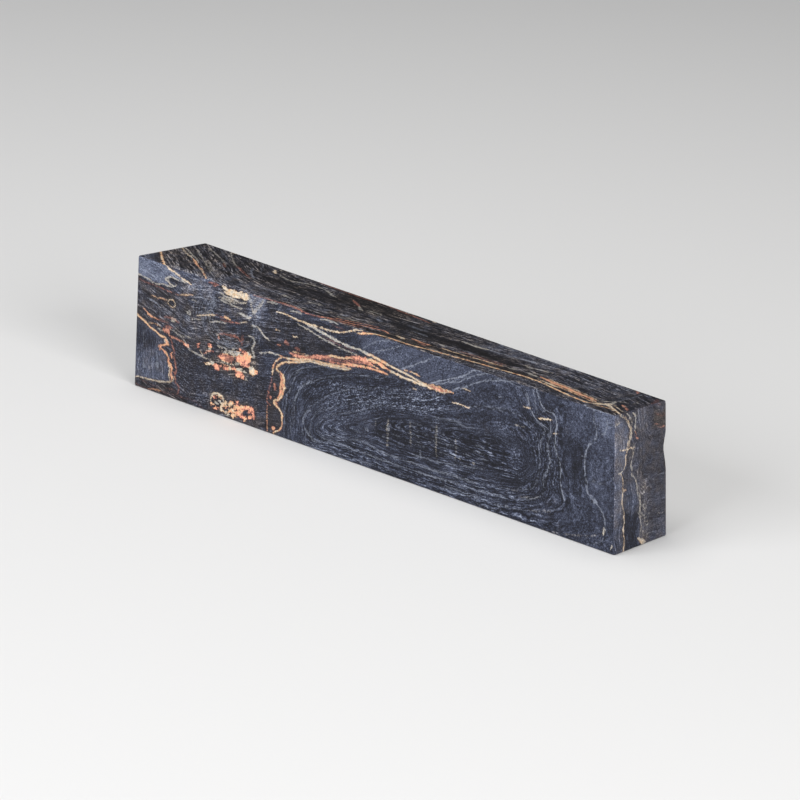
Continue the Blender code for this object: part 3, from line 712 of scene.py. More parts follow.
BASE_VEINS = [
    (CREAM, .8, .2, [(-.5, 4), (3, 5.4), (7, 6), (12, 8.2), (17, 9), (22, 11)]),
    (ORANGE, .85, .36, [(21, 10.6, .2), (24, 11.8, .4), (27, 11.4, .36), (30, 13, .4), (33, 14, .2)]),
    (RED, .55, .22, [(18, 14), (23, 15), (28, 16.4), (34, 16.8), (40, 18)]),
    (TAN, .8, .24, [(49.8, -.4), (51, 2.4), (50.2, 5), (51.8, 8), (51, 11.4), (52.4, 15), (52.8, 20)]),
    (BONE, .5, .2, [(56, 4), (64, 5), (72, 4.4), (82, 5.8), (90, 5.4)]),
    (BONE, .5, .2, [(70, 11), (78, 12), (88, 11.4), (98, 12.6), (108, 12.2)]),
    (GREY, .45, .2, [(96, 4), (106, 5), (116, 4.4), (126, 5.6)]),
    (GREY, .45, .2, [(104, 16), (114, 15.4), (124, 16.2), (134, 15)]),
    (TAN, .6, .18, [(137, .6), (140, 3), (145, 4.6), (150, 7.4), (156, 9), (160.4, 10.8)]),
    (PEACH, .8, .3, [(34, 5, .1), (36.6, 5.8, .45), (39, 5.6, .3), (41.4, 6.6, .1)]),
]

# Small closed spots, the cut buds of the burl: colour, strength, place, half-length, half-width, and turn in
# degrees
FRONT_SPOTS = [
    # The upper right cluster
    (PEACH, 1., 39, 16, 2.3, 1.2, 6), (ORANGE, 1., 40.5, 16.8, 1.3, 1.2, 30),
    (PEACH, .9, 38.2, 18.4, .6, .4, 0), (CREAM, .7, 38.2, 17.2, .8, .4, 0),
    (ORANGE, .9, 41, 17.8, .9, .5, -20), (BONE, .9, 37.3, 17.3, .95, .4, 8),
    (PEACH, .85, 39.8, 18, 1., .45, 0), (BONE, .85, 41.4, 18, .75, .4, -20),
    (PEACH, .8, 40, 14.9, 1.6, .4, 8), (BONE, .6, 37.4, 14.8, 1., .3, 14),
    # The middle cluster
    (PEACH, 1., 32.2, 15, 1.5, .8, 0), (RED, .6, 33.4, 15.4, 2.6, .9, 4),
    (CREAM, .8, 33.8, 16.05, .95, .3, -14), (CREAM, .8, 35, 15.7, .8, .3, -8),
    (RED, .8, 34.2, 14.7, .8, .3, 0), (BONE, .75, 33.4, 13.9, 1.5, .2, 2), (BONE, .7, 36, 16.6, .9, .3, 10),
    (BONE, .7, 34.9, 17.2, .8, .35, 0), (BONE, .6, 31, 17.5, .7, .3, 0), (BONE, .55, 33, 16.7, .9, .22, 8),
    (BONE, .45, 35.8, 18, .5, .3, 0),
    # Along the edge of the dark field
    (CREAM, .9, 26.9, 12.2, 1.2, .3, 10), (BONE, .85, 28.4, 12.7, .8, .5, 0),
    (ORANGE, 1., 29.3, 12.4, .7, .4, 0), (PEACH, 1., 29.8, 12.1, 1.2, .75, -20),
    (PEACH, .75, 31.8, 12.9, 1., .26, 6), (PEACH, .9, 33.3, 12.6, 1.2, .5, 6),
    (CREAM, .8, 34.6, 12.9, .6, .4, 0), (PEACH, .9, 36, 13.1, 1.1, .4, 0),
    (BONE, .9, 37.9, 13.4, 1.1, .35, 6), (BONE, .7, 39.4, 13.3, .8, .3, 0),
    (PEACH, 1., 38, 12.3, 1.3, .7, 0), (ORANGE, 1., 37.6, 11.7, 1., .5, 0),
    (ORANGE, .95, 39.1, 11.7, .65, .4, -10), (BONE, .5, 40.3, 11.5, .5, .3, 0),
    # Single eyes
    (PEACH, 1., 27.4, 16.9, .65, .45, 0), (BONE, .9, 27.4, 16.2, .5, .35, 0),
    (PEACH, .85, 27.7, 15.6, .65, .24, 8), (ORANGE, .8, 26, 14.9, .55, .2, 24),
    (PEACH, .95, 23.2, 15.9, .75, .36, 62), (BONE, .9, 42.2, 14.8, .75, .5, 20),
    (CREAM, 1., 42.6, 14, 1.1, .9, 20), (ORANGE, 1., 43.7, 14.2, .6, .5, 0),
    (CREAM, .6, 41.4, 14.6, .5, .2, 0), (PEACH, .56, 11.7, 17, 1.4, .7, 0),
    (RED, .4, 12.6, 18.2, 1.2, .4, 0), (ORANGE, .95, 19, 15, 1., .42, -12),
    (BONE, .7, 14.2, 20.4, .9, .5, 0), (BONE, .85, 11.5, 14.4, .75, .6, 0),
    (RED, .9, 14.9, 6.9, .4, .45, 0), (ORANGE, .8, 30.7, 19.7, .5, .24, 8),
    (BONE, .6, 30.3, 20.6, .6, .24, 12),
    # The ring low on the face, and what is in it
    (PEACH, .9, 29.2, 4.3, .65, .42, 10), (BONE, .9, 31.2, 3.6, .5, .36, 0),
    (BONE, .75, 30.2, 3, 1., .24, 4), (TAN, 1., 28.4, 2.4, .6, .36, 0),
    (ORANGE, .95, 29.6, 1.5, .9, .34, 10), (TAN, .7, 31.2, 4.8, .6, .3, -10),
    # The large low cluster
    (CREAM, .9, 33.3, 3.9, .42, .6, 0), (TAN, 1., 35.2, 4.3, .9, .5, 20),
    (CREAM, .85, 34.6, 3.6, .9, .28, 0), (CREAM, .9, 32.2, 3.1, .7, .45, 20),
    (TAN, .9, 33.4, 2.7, .8, .3, -8), (CREAM, .85, 31.8, 1.9, .5, .6, 0),
    (CREAM, .8, 33.8, 1.5, .9, .35, 8), (TAN, .95, 35.5, 2.4, 1.1, .5, 12), (TAN, 1., 35.9, 1.2, .6, .7, 0),
    (PEACH, .95, 37.4, 5, .5, .42, 0), (ORANGE, 1., 37.6, 3.7, 1., .6, 0), (TAN, 1., 39, 4.2, .8, .45, 0),
    (ORANGE, 1., 39.1, 3.45, .9, .3, 8), (ORANGE, 1., 37.8, 2.2, 1.1, .62, 0),
    (PEACH, 1., 39.2, 1.8, 1.1, .5, -10), (TAN, 1., 40.1, 1.3, .5, .6, 0),
    (ORANGE, 1., 40.8, 4.5, 1.1, .5, 8), (PEACH, 1., 42.4, 4.5, .7, .6, 0),
    (PEACH, 1., 43, 3.6, .55, .7, 0), (PEACH, .9, 43.2, 2.6, .5, .5, 0),
    (ORANGE, 1., 41.9, 2.3, 1., .4, 20), (TAN, .9, 38.4, 3, .6, .4, 0), (PEACH, .9, 41.6, 3.5, .5, .4, 30),
    (TAN, .9, 36.6, 3.6, .45, .5, 0), (BONE, .8, 34.2, .9, .5, .3, 0), (TAN, .9, 36.8, 1.6, .5, .4, 0),
    (CREAM, .8, 31, 5, .9, .35, -8), (GREY, .6, 32, .3, 1., .3, 8),
    # What fills the cream patch by the top edge
    (CREAM, .9, 36, 31.9, 3.6, .75, 0), (TAN, .7, 38.6, 32.3, 1.6, .5, 0),
    (BONE, .5, 33.6, 29.9, 2.4, .4, 0),
    # Where the loop's line thickens
    (TAN, .95, 52.9, 15.2, .75, .3, -60), (ORANGE, .95, 53, 13.5, .95, .42, 84),
    (CREAM, .9, 53.5, 12.6, .5, .36, 60), (TAN, .95, 52.7, 11.2, .8, .42, 70),
    (ORANGE, .9, 51.8, 9.6, .7, .36, 40), (TAN, .9, 50.9, 8.2, .6, .3, -40),
    (CREAM, .85, 53.1, 5.2, .6, .26, 84),
    # Small marks elsewhere
    (PEACH, .9, 48.8, 9.2, .5, .42, 0), (ORANGE, .8, 50.2, 1.7, .65, .5, 40),
    (PEACH, .6, 48.2, 10.3, .35, .3, 0), (RED, .5, 50.4, 12.2, .5, .9, 0),
    (GREY, .7, 153.4, 11, .6, .35, 10), (BONE, .5, 156.5, 5, .6, .2, 90),
    (GREY, .5, 149.4, 20.7, .3, .22, 0), (GREY, .3, 152.9, 15.7, .5, .2, 20),
    (GREY, .3, 155.2, 15.7, .65, .2, 15), (GREY, .4, 158.8, 9, .3, .3, 0),
    (GREY, .6, 158.8, 17.8, .3, .3, 0), (GREY, .5, 8.4, 7.4, .5, 1., 0), (GREY, .45, 3.6, 6.2, .4, .8, 0),
    (RED, .4, 54, 24.1, .8, .5, 0), (RED, .35, 57.8, 23.4, .8, .45, 0), (RED, .22, 38.7, 21.2, .5, 1.3, 0),
    (GREY, .6, 126.8, 2.9, .4, .25, 0), (GREY, .45, 88.7, 11.4, .45, .7, 0),
]
BASE_SPOTS = [
    (PEACH, .9, 36, 8, .9, .6, 0), (ORANGE, .9, 38, 9, .8, .5, 0), (CREAM, .8, 37.2, 10.4, .6, .4, 0),
]

# Rings round the burl's eyes: colour, strength, half-width, place, half-length, half-height
FRONT_EYES = [
    (CREAM, .56, .11, 13.5, 24.4, 1.3, .95), (BONE, .6, .18, 19.8, 23.5, .6, .45),
    (GREY, .55, .18, 19.4, 22, .65, .55), (GREY, .25, .15, 110.9, 18.6, 1.2, .5),
    (BONE, .4, .2, 26.6, 15.2, .6, .7),
]

# Patches change the wood's ground: tone from black to pale, warmth from blue-grey to brown, how strong the
# streaks are, how many pale flecks there are, how soft the edge is in mm, and the outline. None leaves a
# value as it is
FRONT_PATCHES = [
    (.33, .12, .5, .35, .1, [(-2, -2), (162, -2), (162, 36), (-2, 36)]),
    (None, .35, .45, .4, 2.5, [(-2, -2), (-2, 36), (50, 36), (46, 20), (50, -2)]),
    # The pale corner, and the pale field below the rust line
    (.68, 0., .3, .4, .35, [(-1, 29.2), (5.5, 28.7), (8.5, 28.3), (12.5, 28.7), (11.5, 30.2), (13, 31),
        (19.5, 30.9), (12.5, 33.3), (10.5, 35), (-1, 35)]),
    (.48, .24, .35, .35, .4, [(-1, 18.5), (4.5, 17), (10, 15.2), (11, 14.2), (9, 12.5), (12, 11), (12.5, 9),
        (13.3, 6), (12.8, 4.2), (6, 3), (-1, 2.5)]),
    (.54, .2, .35, .25, 1.2, [(-1, 9), (4, 8.4), (11, 7.8), (12.8, 6), (12.6, 4.2), (6, 3.2), (-1, 2.8)]),
    (.3, .24, .3, .35, 1.2, [(-1, 18), (3, 16.6), (8, 14.6), (8.6, 12.6), (5, 11), (-1, 11.4)]),
    # Near black, then brown and purple
    (.37, .55, .65, .45, .8, [(-1, 28), (15, 27), (24, 28), (30, 25), (36, 24), (42, 22), (46, 19.5),
        (44, 14), (30, 17), (24, 14.5), (16, 15.6), (4, 17.5), (-1, 19)]),
    (.5, .48, .8, .7, 1.5, [(9, 22), (15, 23.4), (24, 23), (28, 20.6), (24, 18.4), (15, 18.6), (9, 20)]),
    (.33, .3, .6, .5, 1.2, [(16, 27), (26, 27.4), (31, 25), (40, 23.4), (44, 21.4), (36, 22.6),
        (26, 24.4)]),
    (.28, .38, .45, .8, .7, [(15.5, 14.8), (20, 14), (26, 13.2), (28, 12), (34, 11), (42, 11), (46, 14),
        (48, 12), (47, 7), (44.5, 5.5), (36, 6.3), (33, 6), (27.5, 5), (27, -1), (17, -1), (16, 4),
        (15.5, 8)]),
    (.32, .35, .5, .7, 1.6, [(29, 9.4), (34, 10.6), (40, 10.4), (44.6, 9), (43.6, 6.8), (36, 7),
        (30, 7.2)]),
    (.32, .4, .5, .8, 1.4, [(17.6, 9), (20.6, 11.6), (26, 10.6), (26, 4), (21, 2.6), (17.8, 5)]),
    (.4, .8, .7, .5, .8, [(26.6, 13.4), (30, 16.6), (36, 19), (43, 19.2), (44.6, 16), (42.6, 12.6),
        (36, 11), (30, 11)]),
    (.42, .6, .3, .4, .6, [(27, -1), (27.4, 5.2), (33, 6.2), (40, 6), (44.4, 5.4), (46, 2.6), (46, -1)]),
    (.28, .6, .8, .3, .4, [(-1, -1), (-1, 2.3), (13, 3.8), (16, 1.5), (26, -1)]),
    # A pale cool band along the top edge: a painted highlight of the rounded edge. The back gets a carried
    # copy of it.
    (.5, .25, .5, .5, .5, [(16, 32), (22, 32), (30, 33), (44, 32.4), (60, 32.2), (76, 33), (76, 36),
        (10, 36)]),
    (.63, .38, .6, .7, .8, [(15.5, 29), (19.5, 30.5), (21, 32.8), (28, 32.5), (29, 28.5), (24, 27.5),
        (19, 28)]),
    (.43, .5, .6, .5, 1., [(30, 26), (30, 33.4), (40.4, 33.4), (42, 30), (42, 26)]),
    (.7, .28, .6, .7, .9, [(40.5, 27), (40.5, 33.4), (47.6, 33.6), (46.6, 30.6), (44.4, 27)]),
    (.37, .38, .5, .45, 1., [(46.4, 27), (47.6, 33.4), (56, 33.4), (58, 31), (52, 29), (48, 26.4)]),
    # Inside the loop
    (.27, .6, .35, .2, .4, [(52, 19.5), (50, 17), (49.5, 14), (48, 8), (47, -1), (50, -1), (53, 3), (53, 6),
        (50, 8.5), (52.5, 10), (53, 14), (51, 16.7), (52.5, 18.3)]),
    # The dark band under the long veins, and the smooth pale field over them
    (.27, .45, .65, .4, 1., [(45, 26), (52, 30.5), (60, 30), (70, 28), (80, 26.5), (75, 25.8), (66, 23.7),
        (60, 22.3), (54, 22), (48, 21)]),
    (.34, .2, .3, .25, .8, [(50, 31.4), (60, 31), (70, 31), (77, 33), (74, 33.6), (60, 33), (50, 33.2)]),
    (.28, .1, .3, .2, .8, [(56, 30), (70, 29.2), (80, 28.6), (78, 32.6), (72, 30.6), (60, 30.2)]),
    (.48, 0., .1, .3, 1.1, [(77, 32.8), (80, 28.5), (90, 27), (100, 25.7), (109, 25.6), (125, 26),
        (134, 30), (134.5, 35), (80, 35)]),
    (.36, 0., .2, .4, 1.6, [(104, 25.4), (120, 25.2), (134, 28), (140, 30), (142.5, 35), (130, 35),
        (120, 32), (112, 29)]),
    (.26, .15, .5, .3, .8, [(60, 20.5), (75, 22.3), (88, 24.3), (100, 24.5), (95, 22), (85, 19.8), (75, 20),
        (65, 18)]),
    (.29, .05, .25, .4, 1., [(96, 24.4), (108, 25), (124, 25.4), (134, 26), (136, 23), (124, 21),
        (108, 20.8), (98, 22)]),
    # Speckled field, dark heart and the striped foot of the middle
    (.38, .05, .7, 1.2, 1.2, [(60, 15), (70, 19), (80, 19.5), (92, 22), (104, 24.3), (108, 22), (100, 17.5),
        (88, 16), (78, 12), (66, 12)]),
    (.38, .1, .35, .4, 1., [(54.8, -1), (60.2, -1), (60.2, 13), (58, 15), (55.4, 12)]),
    (.34, .1, .4, .8, 1.6, [(58, 16), (62, 18), (70, 17), (78, 13), (74, 9), (64, 9.6), (60, 12)]),
    (.19, .05, .9, .3, 1.6, [(84, 14.5), (96, 16), (104, 18), (118, 18), (135, 22), (138, 14), (134, 8),
        (118, 9), (100, 8.5), (86, 8)]),
    (.3, .05, .85, .3, 1.5, [(61, -1), (62, 3), (68, 6), (80, 7.5), (110, 8), (135, 6.5), (142, -1)]),
    (.44, .05, .3, 1., 1.6, [(122.4, 19), (122.6, 22), (126, 23), (129, 22), (128.6, 19.4), (125.6, 18.8)]),
    (.44, .05, .3, 1., 1.8, [(126.8, 12), (127, 17.4), (130, 18.4), (134, 17), (134, 13.6), (130, 12)]),
    # The right end
    (.25, .05, .4, .8, 1.4, [(131, 8), (131, 26), (136, 27.4), (141, 25), (140.6, 20), (142.6, 16),
        (142.6, 9), (137, 7)]),
    (.34, 0., .2, .4, .8, [(143.5, 35), (145, 24), (150, 22), (151, 14), (146, 10), (144, 4), (150, -1),
        (162, -1), (162, 35)]),
    (.42, 0., .15, .25, 1.2, [(145, 35), (146, 25), (152, 23), (162, 22), (162, 35)]),
    (.45, 0., .2, .25, .6, [(151, 22), (158, 22), (158.5, 8), (155, 9.5), (151, 13)]),
    (.6, 0., .15, .25, 1., [(153.4, 33), (160, 33), (160, 24), (155.6, 27.4), (152.8, 29.6)]),
    (.24, 0., .3, .3, .9, [(141.5, 24), (149.5, 23), (150, 15), (146, 11), (143.5, 14), (143, 19)]),
]

TOP_PATCHES = [
    (.28, .6, 1.3, .3, .1, [(-2, -2), (162, -2), (162, 23), (-2, 23)]),
    (.5, .35, .8, .25, .5, [(-1, 7.4), (3, 4.8), (9.5, -1), (-1, -1)]),
    (.36, .65, 1.4, .3, 1.4, [(-1, 13), (12, 7), (24, -1), (9.5, -1), (-1, 7)]),
    (.47, .5, .9, .5, 1.2, [(16, -1), (20, 3), (24, 5), (30, 7), (40, 6.4), (48, 5.4), (48, -1)]),
    # A pale strip along the front edge: a painted highlight of the rounded edge. The base repeats the patches
    # from this one on, this painted highlight among them.
    (.66, .5, 1.2, 1.2, .5, [(12, -1), (12, .8), (58, 1.2), (60, -1)]),
    (.1, .7, 1., .3, 1.8, [(30, 14), (36, 9.6), (48, 8.6), (62, 9.4), (60, 14), (44, 14.4)]),
    (.42, .5, .9, 1., 1.6, [(44, 1), (44, 6), (52, 8), (62, 8), (63, 3), (56, 1.4)]),
    (.05, .95, 1.1, .4, 1.6, [(54, 20), (56, 14), (66, 12), (78, 14), (78, 20)]),
    (.4, .5, 1., 1., .8, [(80, -1), (82, .6), (100, 2.2), (120, 4.6), (128, 5.4), (142, 3.4), (149, 3),
        (150, -1)]),
    (.2, 1., 1., .3, .6, [(83, 4.6), (84, 1.6), (100, 3.2), (116, 5.2), (128, 6.2), (127, 7.2), (112, 6.2),
        (98, 5)]),
    (.04, .7, .9, .3, 1.5, [(76, 12), (84, 8), (100, 8.6), (120, 9), (118, 12.4), (96, 12.6)]),
    (.5, .45, 1., .6, 2., [(104, 13), (120, 13.6), (134, 13), (132, 22), (104, 22)]),
    (.35, .45, 1.2, .6, 2., [(130, 9), (150, 8), (150, 22), (131, 22)]),
    (.26, .5, .8, .4, 1., [(150, 6), (160, 4.4), (161, 22), (151, 22)]),
]

BASE_PATCHES = [
    (.28, .25, .8, .35, .1, [(-2, -2), (162, -2), (162, 24), (-2, 24)]),
    (.44, .05, .5, .25, 1.6, [(-1, -1), (-1, 5), (10, 7), (20, 9.4), (19, 13), (8, 17), (-1, 18)]),
    (.16, .3, .5, .25, 2., [(30, 22), (34, 17), (44, 17), (50, 14), (50, -1), (36, -1), (34, 8)]),
    (.36, .05, .9, .5, 2.5, [(60, 22), (62, 14), (90, 14), (120, 17), (132, 22)]),
    (.38, 0., .3, .3, 2., [(144, -1), (148, 8), (146, 16), (149, 24), (162, 24), (162, -1)]),
]

RIGHT_PATCHES = [
    (.44, .48, .18, .22, .1, [(-2, -2), (22, -2), (22, 36), (-2, 36)]),
    (.5, .55, .5, .6, .8, [(9.8, 16), (12.4, 16), (12.6, 8), (12.6, -1), (10.4, -1), (10, 6)]),
    (.63, .4, .2, .2, .4, [(-1, 34), (2.5, 32), (5.5, 29), (6, 27), (5, 24), (4.8, 20), (3.5, 17),
        (3.8, 12), (3.5, 9), (-1, 4)]),
    (.62, .4, .2, .2, .8, [(-1, 18), (3, 18), (3.4, 12), (2.6, 6), (-1, 2)]),
    (.4, .3, .5, .3, .6, [(.8, -1), (3.6, -1), (3.7, 6), (3.4, 9), (1, 5)]),
    (.2, .15, .5, .3, .5, [(4.6, 9), (9.3, 8), (9.8, -1), (4.6, -1)]),
    (.46, .22, .3, .2, .7, [(5.5, 16), (8.2, 15), (9, 10), (7, 7.6), (5, 10)]),
    (.44, .5, .5, .4, .8, [(7.6, 24), (9.6, 25), (11, 20), (10.6, 16), (9, 16.6), (7.4, 18)]),
    (.43, .85, .2, .2, 1., [(14.7, 30), (20, 30), (20, 25), (14.7, 27)]),
    (.52, .5, .5, .4, 1., [(6, 33), (13, 33), (13, 27), (9, 26), (7.4, 28)]),
    (.39, .52, .14, .15, 1.2, [(12, 25), (20, 24), (20, 15), (12, 17)]),
]

LEFT_PATCHES = [
    (.32, .2, .5, .35, .1, [(-2, -2), (24, -2), (24, 36), (-2, 36)]),
    (.62, 0., .25, .2, .5, [(-1, 29.2), (3, 30.6), (8, 33.6), (8, 36), (-1, 36)]),
    (.46, .0, .5, .25, 1., [(-1, 18.6), (4, 18.8), (9, 22), (14, 21), (15, 13), (13, 8.6), (8, 5),
        (-1, 2.6)]),
    (.28, .7, .7, .3, 1.2, [(-1, 28), (6, 28.4), (12, 29), (22, 28), (22, 25), (12, 23), (5, 20.4),
        (-1, 19.4)]),
    (.15, .2, .4, .2, 1., [(16, 18), (22, 19), (22, -1), (12, -1), (14, 6), (17, 11)]),
]

# Growth rings of the front face, from the outermost in: each is an outline that the grain follows
FRONT_RINGS = [
    [(54.3, -2), (54.2, 9), (54.8, 14), (57, 17.5), (61, 19.6), (66, 21), (72, 22.2), (78, 24.3), (82, 27),
        (86, 30), (93, 33), (99, 37), (160, 38), (164, 10), (163, -5), (100, -6), (60, -6)],
    [(57.3, -1.5), (57.3, 6), (57.4, 11), (58.5, 13.4), (60.2, 15.2), (63.5, 17), (68, 18.8), (74, 20.9),
        (80, 22.3), (86, 23.2), (90, 25), (93, 27.4), (97.7, 29.7), (104.3, 33.2), (110, 36), (148, 36),
        (152, 31), (153, 27), (151, 23.5), (150, 20), (150.5, 16), (151.2, 13), (154, 11), (156.6, 6),
        (156.2, 2.6), (152, .6), (146, -1), (120, -2), (80, -2)],
    [(60.3, 2), (60.2, 6.6), (61.6, 9.3), (64, 11.3), (67, 13.5), (70, 15.3), (75, 17.5), (80, 19),
        (84, 20.3), (88, 21), (92, 21.8), (96, 23), (99, 24.2), (102, 25.7), (106, 27.6), (110, 29.1),
        (114.5, 31.7), (118, 33.4), (123, 35), (130, 35), (134.4, 33), (136.3, 29.5), (138, 28.4),
        (140, 28.2), (141.1, 26.6), (141, 22), (142, 18.5), (143, 16), (143.2, 12), (144.5, 9), (143.5, 7),
        (141, 5.6), (137, 4.4), (133, 3.4), (126, 2.4), (110, 1.6), (90, 1.3), (75, 1), (66, .6), (62, .6)],
    [(62.8, 3.2), (63, 6.5), (65, 9.5), (68, 11), (72, 12.8), (76, 14.3), (80, 15.8), (84, 17.5), (88, 19),
        (93, 20.3), (98, 21.5), (103, 23), (108, 25.2), (113, 27.8), (119, 30.9), (124, 32.2), (130, 31.5),
        (132.5, 29), (134, 26.5), (136.5, 24.9), (139, 24), (138.8, 21), (139.6, 17), (139, 14),
        (138, 11.5), (138, 9), (136, 7.2), (132, 5.8), (126, 4.8), (115, 3.9), (100, 3.5), (88, 3.4),
        (78, 3.4), (70, 3.2), (65.5, 2.3)],
    [(65, 5), (65.8, 7.5), (69, 9.8), (74, 11.5), (78, 13), (82, 15), (86, 16.5), (92, 17.8), (98, 18.8),
        (104, 20), (110, 21.7), (118, 24.4), (126, 25.6), (132, 24.4), (135.2, 22), (136.3, 18),
        (136.6, 14), (135.6, 10.5), (133.4, 8.5), (128, 7.2), (120, 6.1), (110, 5.5), (100, 5.2), (90, 5.2),
        (80, 5.8), (74, 5.2), (68, 4.2)],
    [(68.4, 6.9), (73, 9.4), (79, 12), (84, 14.3), (90, 15.8), (97, 16.9), (104, 17.9), (112, 18.7),
        (120, 20), (127, 20.4), (131, 18), (132.4, 14.5), (131, 11.2), (127, 9.6), (118, 8.6), (108, 7.7),
        (98, 7.1), (88, 6.8), (78, 6.8), (72, 6)],
    [(74, 8), (80, 10.6), (86, 12.8), (92, 14.2), (100, 15.4), (108, 16.4), (116, 17), (122, 16.4),
        (125, 14.2), (124, 11.6), (118, 10.2), (108, 9.3), (98, 8.7), (88, 8.2), (80, 7.8)],
]
RING_HALF_WIDTH, RING_STRENGTH = .12, .36
RINGS_DRAWN = 5
# The rings' curves are thinned, as they are long: one place in so many is kept when drawn, and for the grain
DRAWN_RING_EVERY, GRAIN_RING_EVERY = 2, 3

# The grain of the front and back slopes down as far as a bend and up from there, except in three fields
SLOPE_BEND, SLOPE_DOWN, SLOPE_UP = 20.0, .3, .15
# The field where the grain follows the growth rings, its soft edge, the rings' spacing, and where they start
RING_FIELD = [
    (54, -4), (52.6, 4), (50.4, 8), (53.6, 13), (51.4, 17), (55, 19.6), (62, 21.4), (75, 22.8), (88, 24.8),
    (100, 25.1), (90, 26.6), (80, 28), (77, 30), (79.5, 33.6), (85, 38), (166, 38), (166, -4),
]
RING_BLEND, RING_SPACING, RING_START = .7, 2.5, 40.0
# The dark heart, where the grain is level
HEART_FIELD = [
    (82, 9.6), (90, 13.6), (98, 15.4), (110, 17.4), (122, 18.6), (131, 17.6), (134, 14), (131, 10.4),
    (120, 9.2), (106, 8.6), (92, 8.2),
]
HEART_BLEND, HEART_START = 2.0, 6.0
# The left end, where the grain is upright
UPRIGHT_FIELD = [
    (-1, 18.5), (4.5, 17), (10, 15.2), (11, 14.2), (9, 12.5), (12, 11), (12.5, 9), (13.3, 6), (12.8, 4.2),
    (6, 3), (-1, 2.5),
]
UPRIGHT_BLEND, UPRIGHT_RATE = 1.0, 1.1

# How far the grain of the top has swung by each place along it
TOP_GRAIN = [
    (0, 0), (28, 15.4), (40, 18), (60, 18.2), (78, 17), (127, 11.2), (132, 11.2), (148, 13.3), (152, 11.5),
    (160, 14),
]

# The grain of the end faces. A sway is its size in mm, its rate in radians per mm, and its phase
END_SWAY_FAST, END_SWAY_SLOW = (.8, .45), (.5, .17, 1.0)
END_LEVEL_RATE, END_LEVEL_SWAY = .7, (.4, .5)
END_BLEND = (9, 13)

# Where the patches and veins of the top that the base repeats start in their lists
FIRST_TURNED_PATCH, FIRST_TURNED_VEIN = 4, 8

# How soft a heart's edge is, as a share of its smaller half
HEART_SOFTNESS = .4
# Dark hearts of the eyes: place, half-length, half-height, tone, warmth
FRONT_HEARTS = [
    (13.5, 24.4, 1.1, .75, .12, .4), (30.2, 3.2, 1.7, 1.5, .18, .3), (40.5, 3, .8, .45, .32, .2),
    (9.5, 24, .9, .8, .14, .3), (19.8, 23.5, .45, .32, .15, .3), (42.2, 20.4, .5, 1.2, .2, .6),
    (47.9, 2, .7, 1.4, .14, .5), (121.5, 14.5, .8, 3., .36, 0.), (75.5, 22, 1.4, .4, .3, 0.),
]


# The figure carried through the wood

# How far it drifts along by the back, and its sways: size in mm, radians per mm, and phase
DRIFT_ALONG = 5.0
DRIFT_SWAY_WITH_HEIGHT, DRIFT_SWAY_WITH_LENGTH = (3.4, 1 / 6, .6), (2.0, 1 / 9)
DRIFT_RISE = (2.4, .1, 2.0)


def wave(place, size, rate, phase=0.0):
    """A gentle sway in mm. The rate is in radians per mm."""
    return size * np.sin(place * rate + phase)


def drift(x, z):
    """How far the front's figure has moved, along and up, where it comes out on the back."""
    x, z = np.asarray(x, dtype=float), np.asarray(z, dtype=float)
    from_ends = np.sin(np.pi * np.clip(x / BLOCK_LENGTH, 0, 1))
    from_edges = np.sin(np.pi * np.clip(z / FACE_HEIGHT, 0, 1))
    along = DRIFT_ALONG + wave(z, *DRIFT_SWAY_WITH_HEIGHT) + wave(x, *DRIFT_SWAY_WITH_LENGTH)
    return from_ends * along, from_edges * wave(x, *DRIFT_RISE)


def carried(route):
    """A route of the front, moved to where it comes out on the back."""
    moved = []
    for x, z, *rest in route:
        along, up = drift(x, z)
        moved.append((x + float(along), z + float(up), *rest))
    return moved


def carried_routes(items):
    """Veins or patches of the front, with their routes carried to the back."""
    return [(*item[:-1], carried(item[-1])) for item in items]


def carried_places(items, first):
    """Spots, eyes or hearts of the front, carried to the back. A place is the two values from first on."""
    return [(*item[:first], *carried([item[first:first + 2]])[0], *item[first + 2:]) for item in items]


def turned_routes(items):
    """Veins or patches of the top turned end for end, as the figure of the face below."""
    return [(*item[:-1], [(BLOCK_LENGTH - x, *rest) for x, *rest in item[-1]]) for item in items]


# Painting the figure on to the vertices

def smoothstep(low, high, value):
    share = np.clip((value - low) / (high - low), 0, 1)
    return share * share * (3 - 2 * share)


def ellipse(x, y, half_length, half_height):
    """Points round an upright ellipse."""
    angle = np.linspace(0, 2 * math.pi, ELLIPSE_POINTS, endpoint=False)
    return list(zip(x + half_length * np.cos(angle), y + half_height * np.sin(angle)))


def depth_inside(places, outline):
    """How far inside a closed outline each place is, in mm, and below zero outside it."""
    outline = np.array(outline, dtype=float)
    nearest = np.full(len(places), np.inf)
    inside = np.zeros(len(places), dtype=bool)
    for start, end in zip(outline, np.roll(outline, -1, axis=0)):
        edge = end - start
        away = places - start
        share = np.clip(away @ edge / (edge @ edge), 0, 1)
        nearest = np.minimum(nearest, np.linalg.norm(away - share[:, None] * edge, axis=1))
        if edge[1] != 0:
            crosses = (start[1] > places[:, 1]) != (end[1] > places[:, 1])
            inside ^= crosses & (away[:, 0] < edge[0] * away[:, 1] / edge[1])
    return np.where(inside, nearest, -nearest)


def curve_through(points, closed=False):
    """A smooth line through (along, up, half-width) points, as closely spaced points."""
    points = np.array(points, dtype=float)
    if closed:
        points = np.concatenate([points[-1:], points, points[:2]])
    else:
        points = np.concatenate([2 * points[:1] - points[1:2], points, 2 * points[-1:] - points[-2:-1]])
    line = []
    for a, b, c, d in zip(points, points[1:], points[2:], points[3:]):
        steps = max(1, round(math.dist(b[:2], c[:2]) / ROUTE_STEP))
        share = np.arange(steps)[:, None] / steps
        bend = 2 * a - 5 * b + 4 * c - d
        twist = 3 * (b - c) + d - a
        line.append(b + .5 * share * ((c - a) + share * (bend + share * twist)))
    line.append(points[-2:-1])
    return np.concatenate(line)


def closed_curve(outline, half_width):
    return curve_through([(*place, half_width) for place in outline], closed=True)


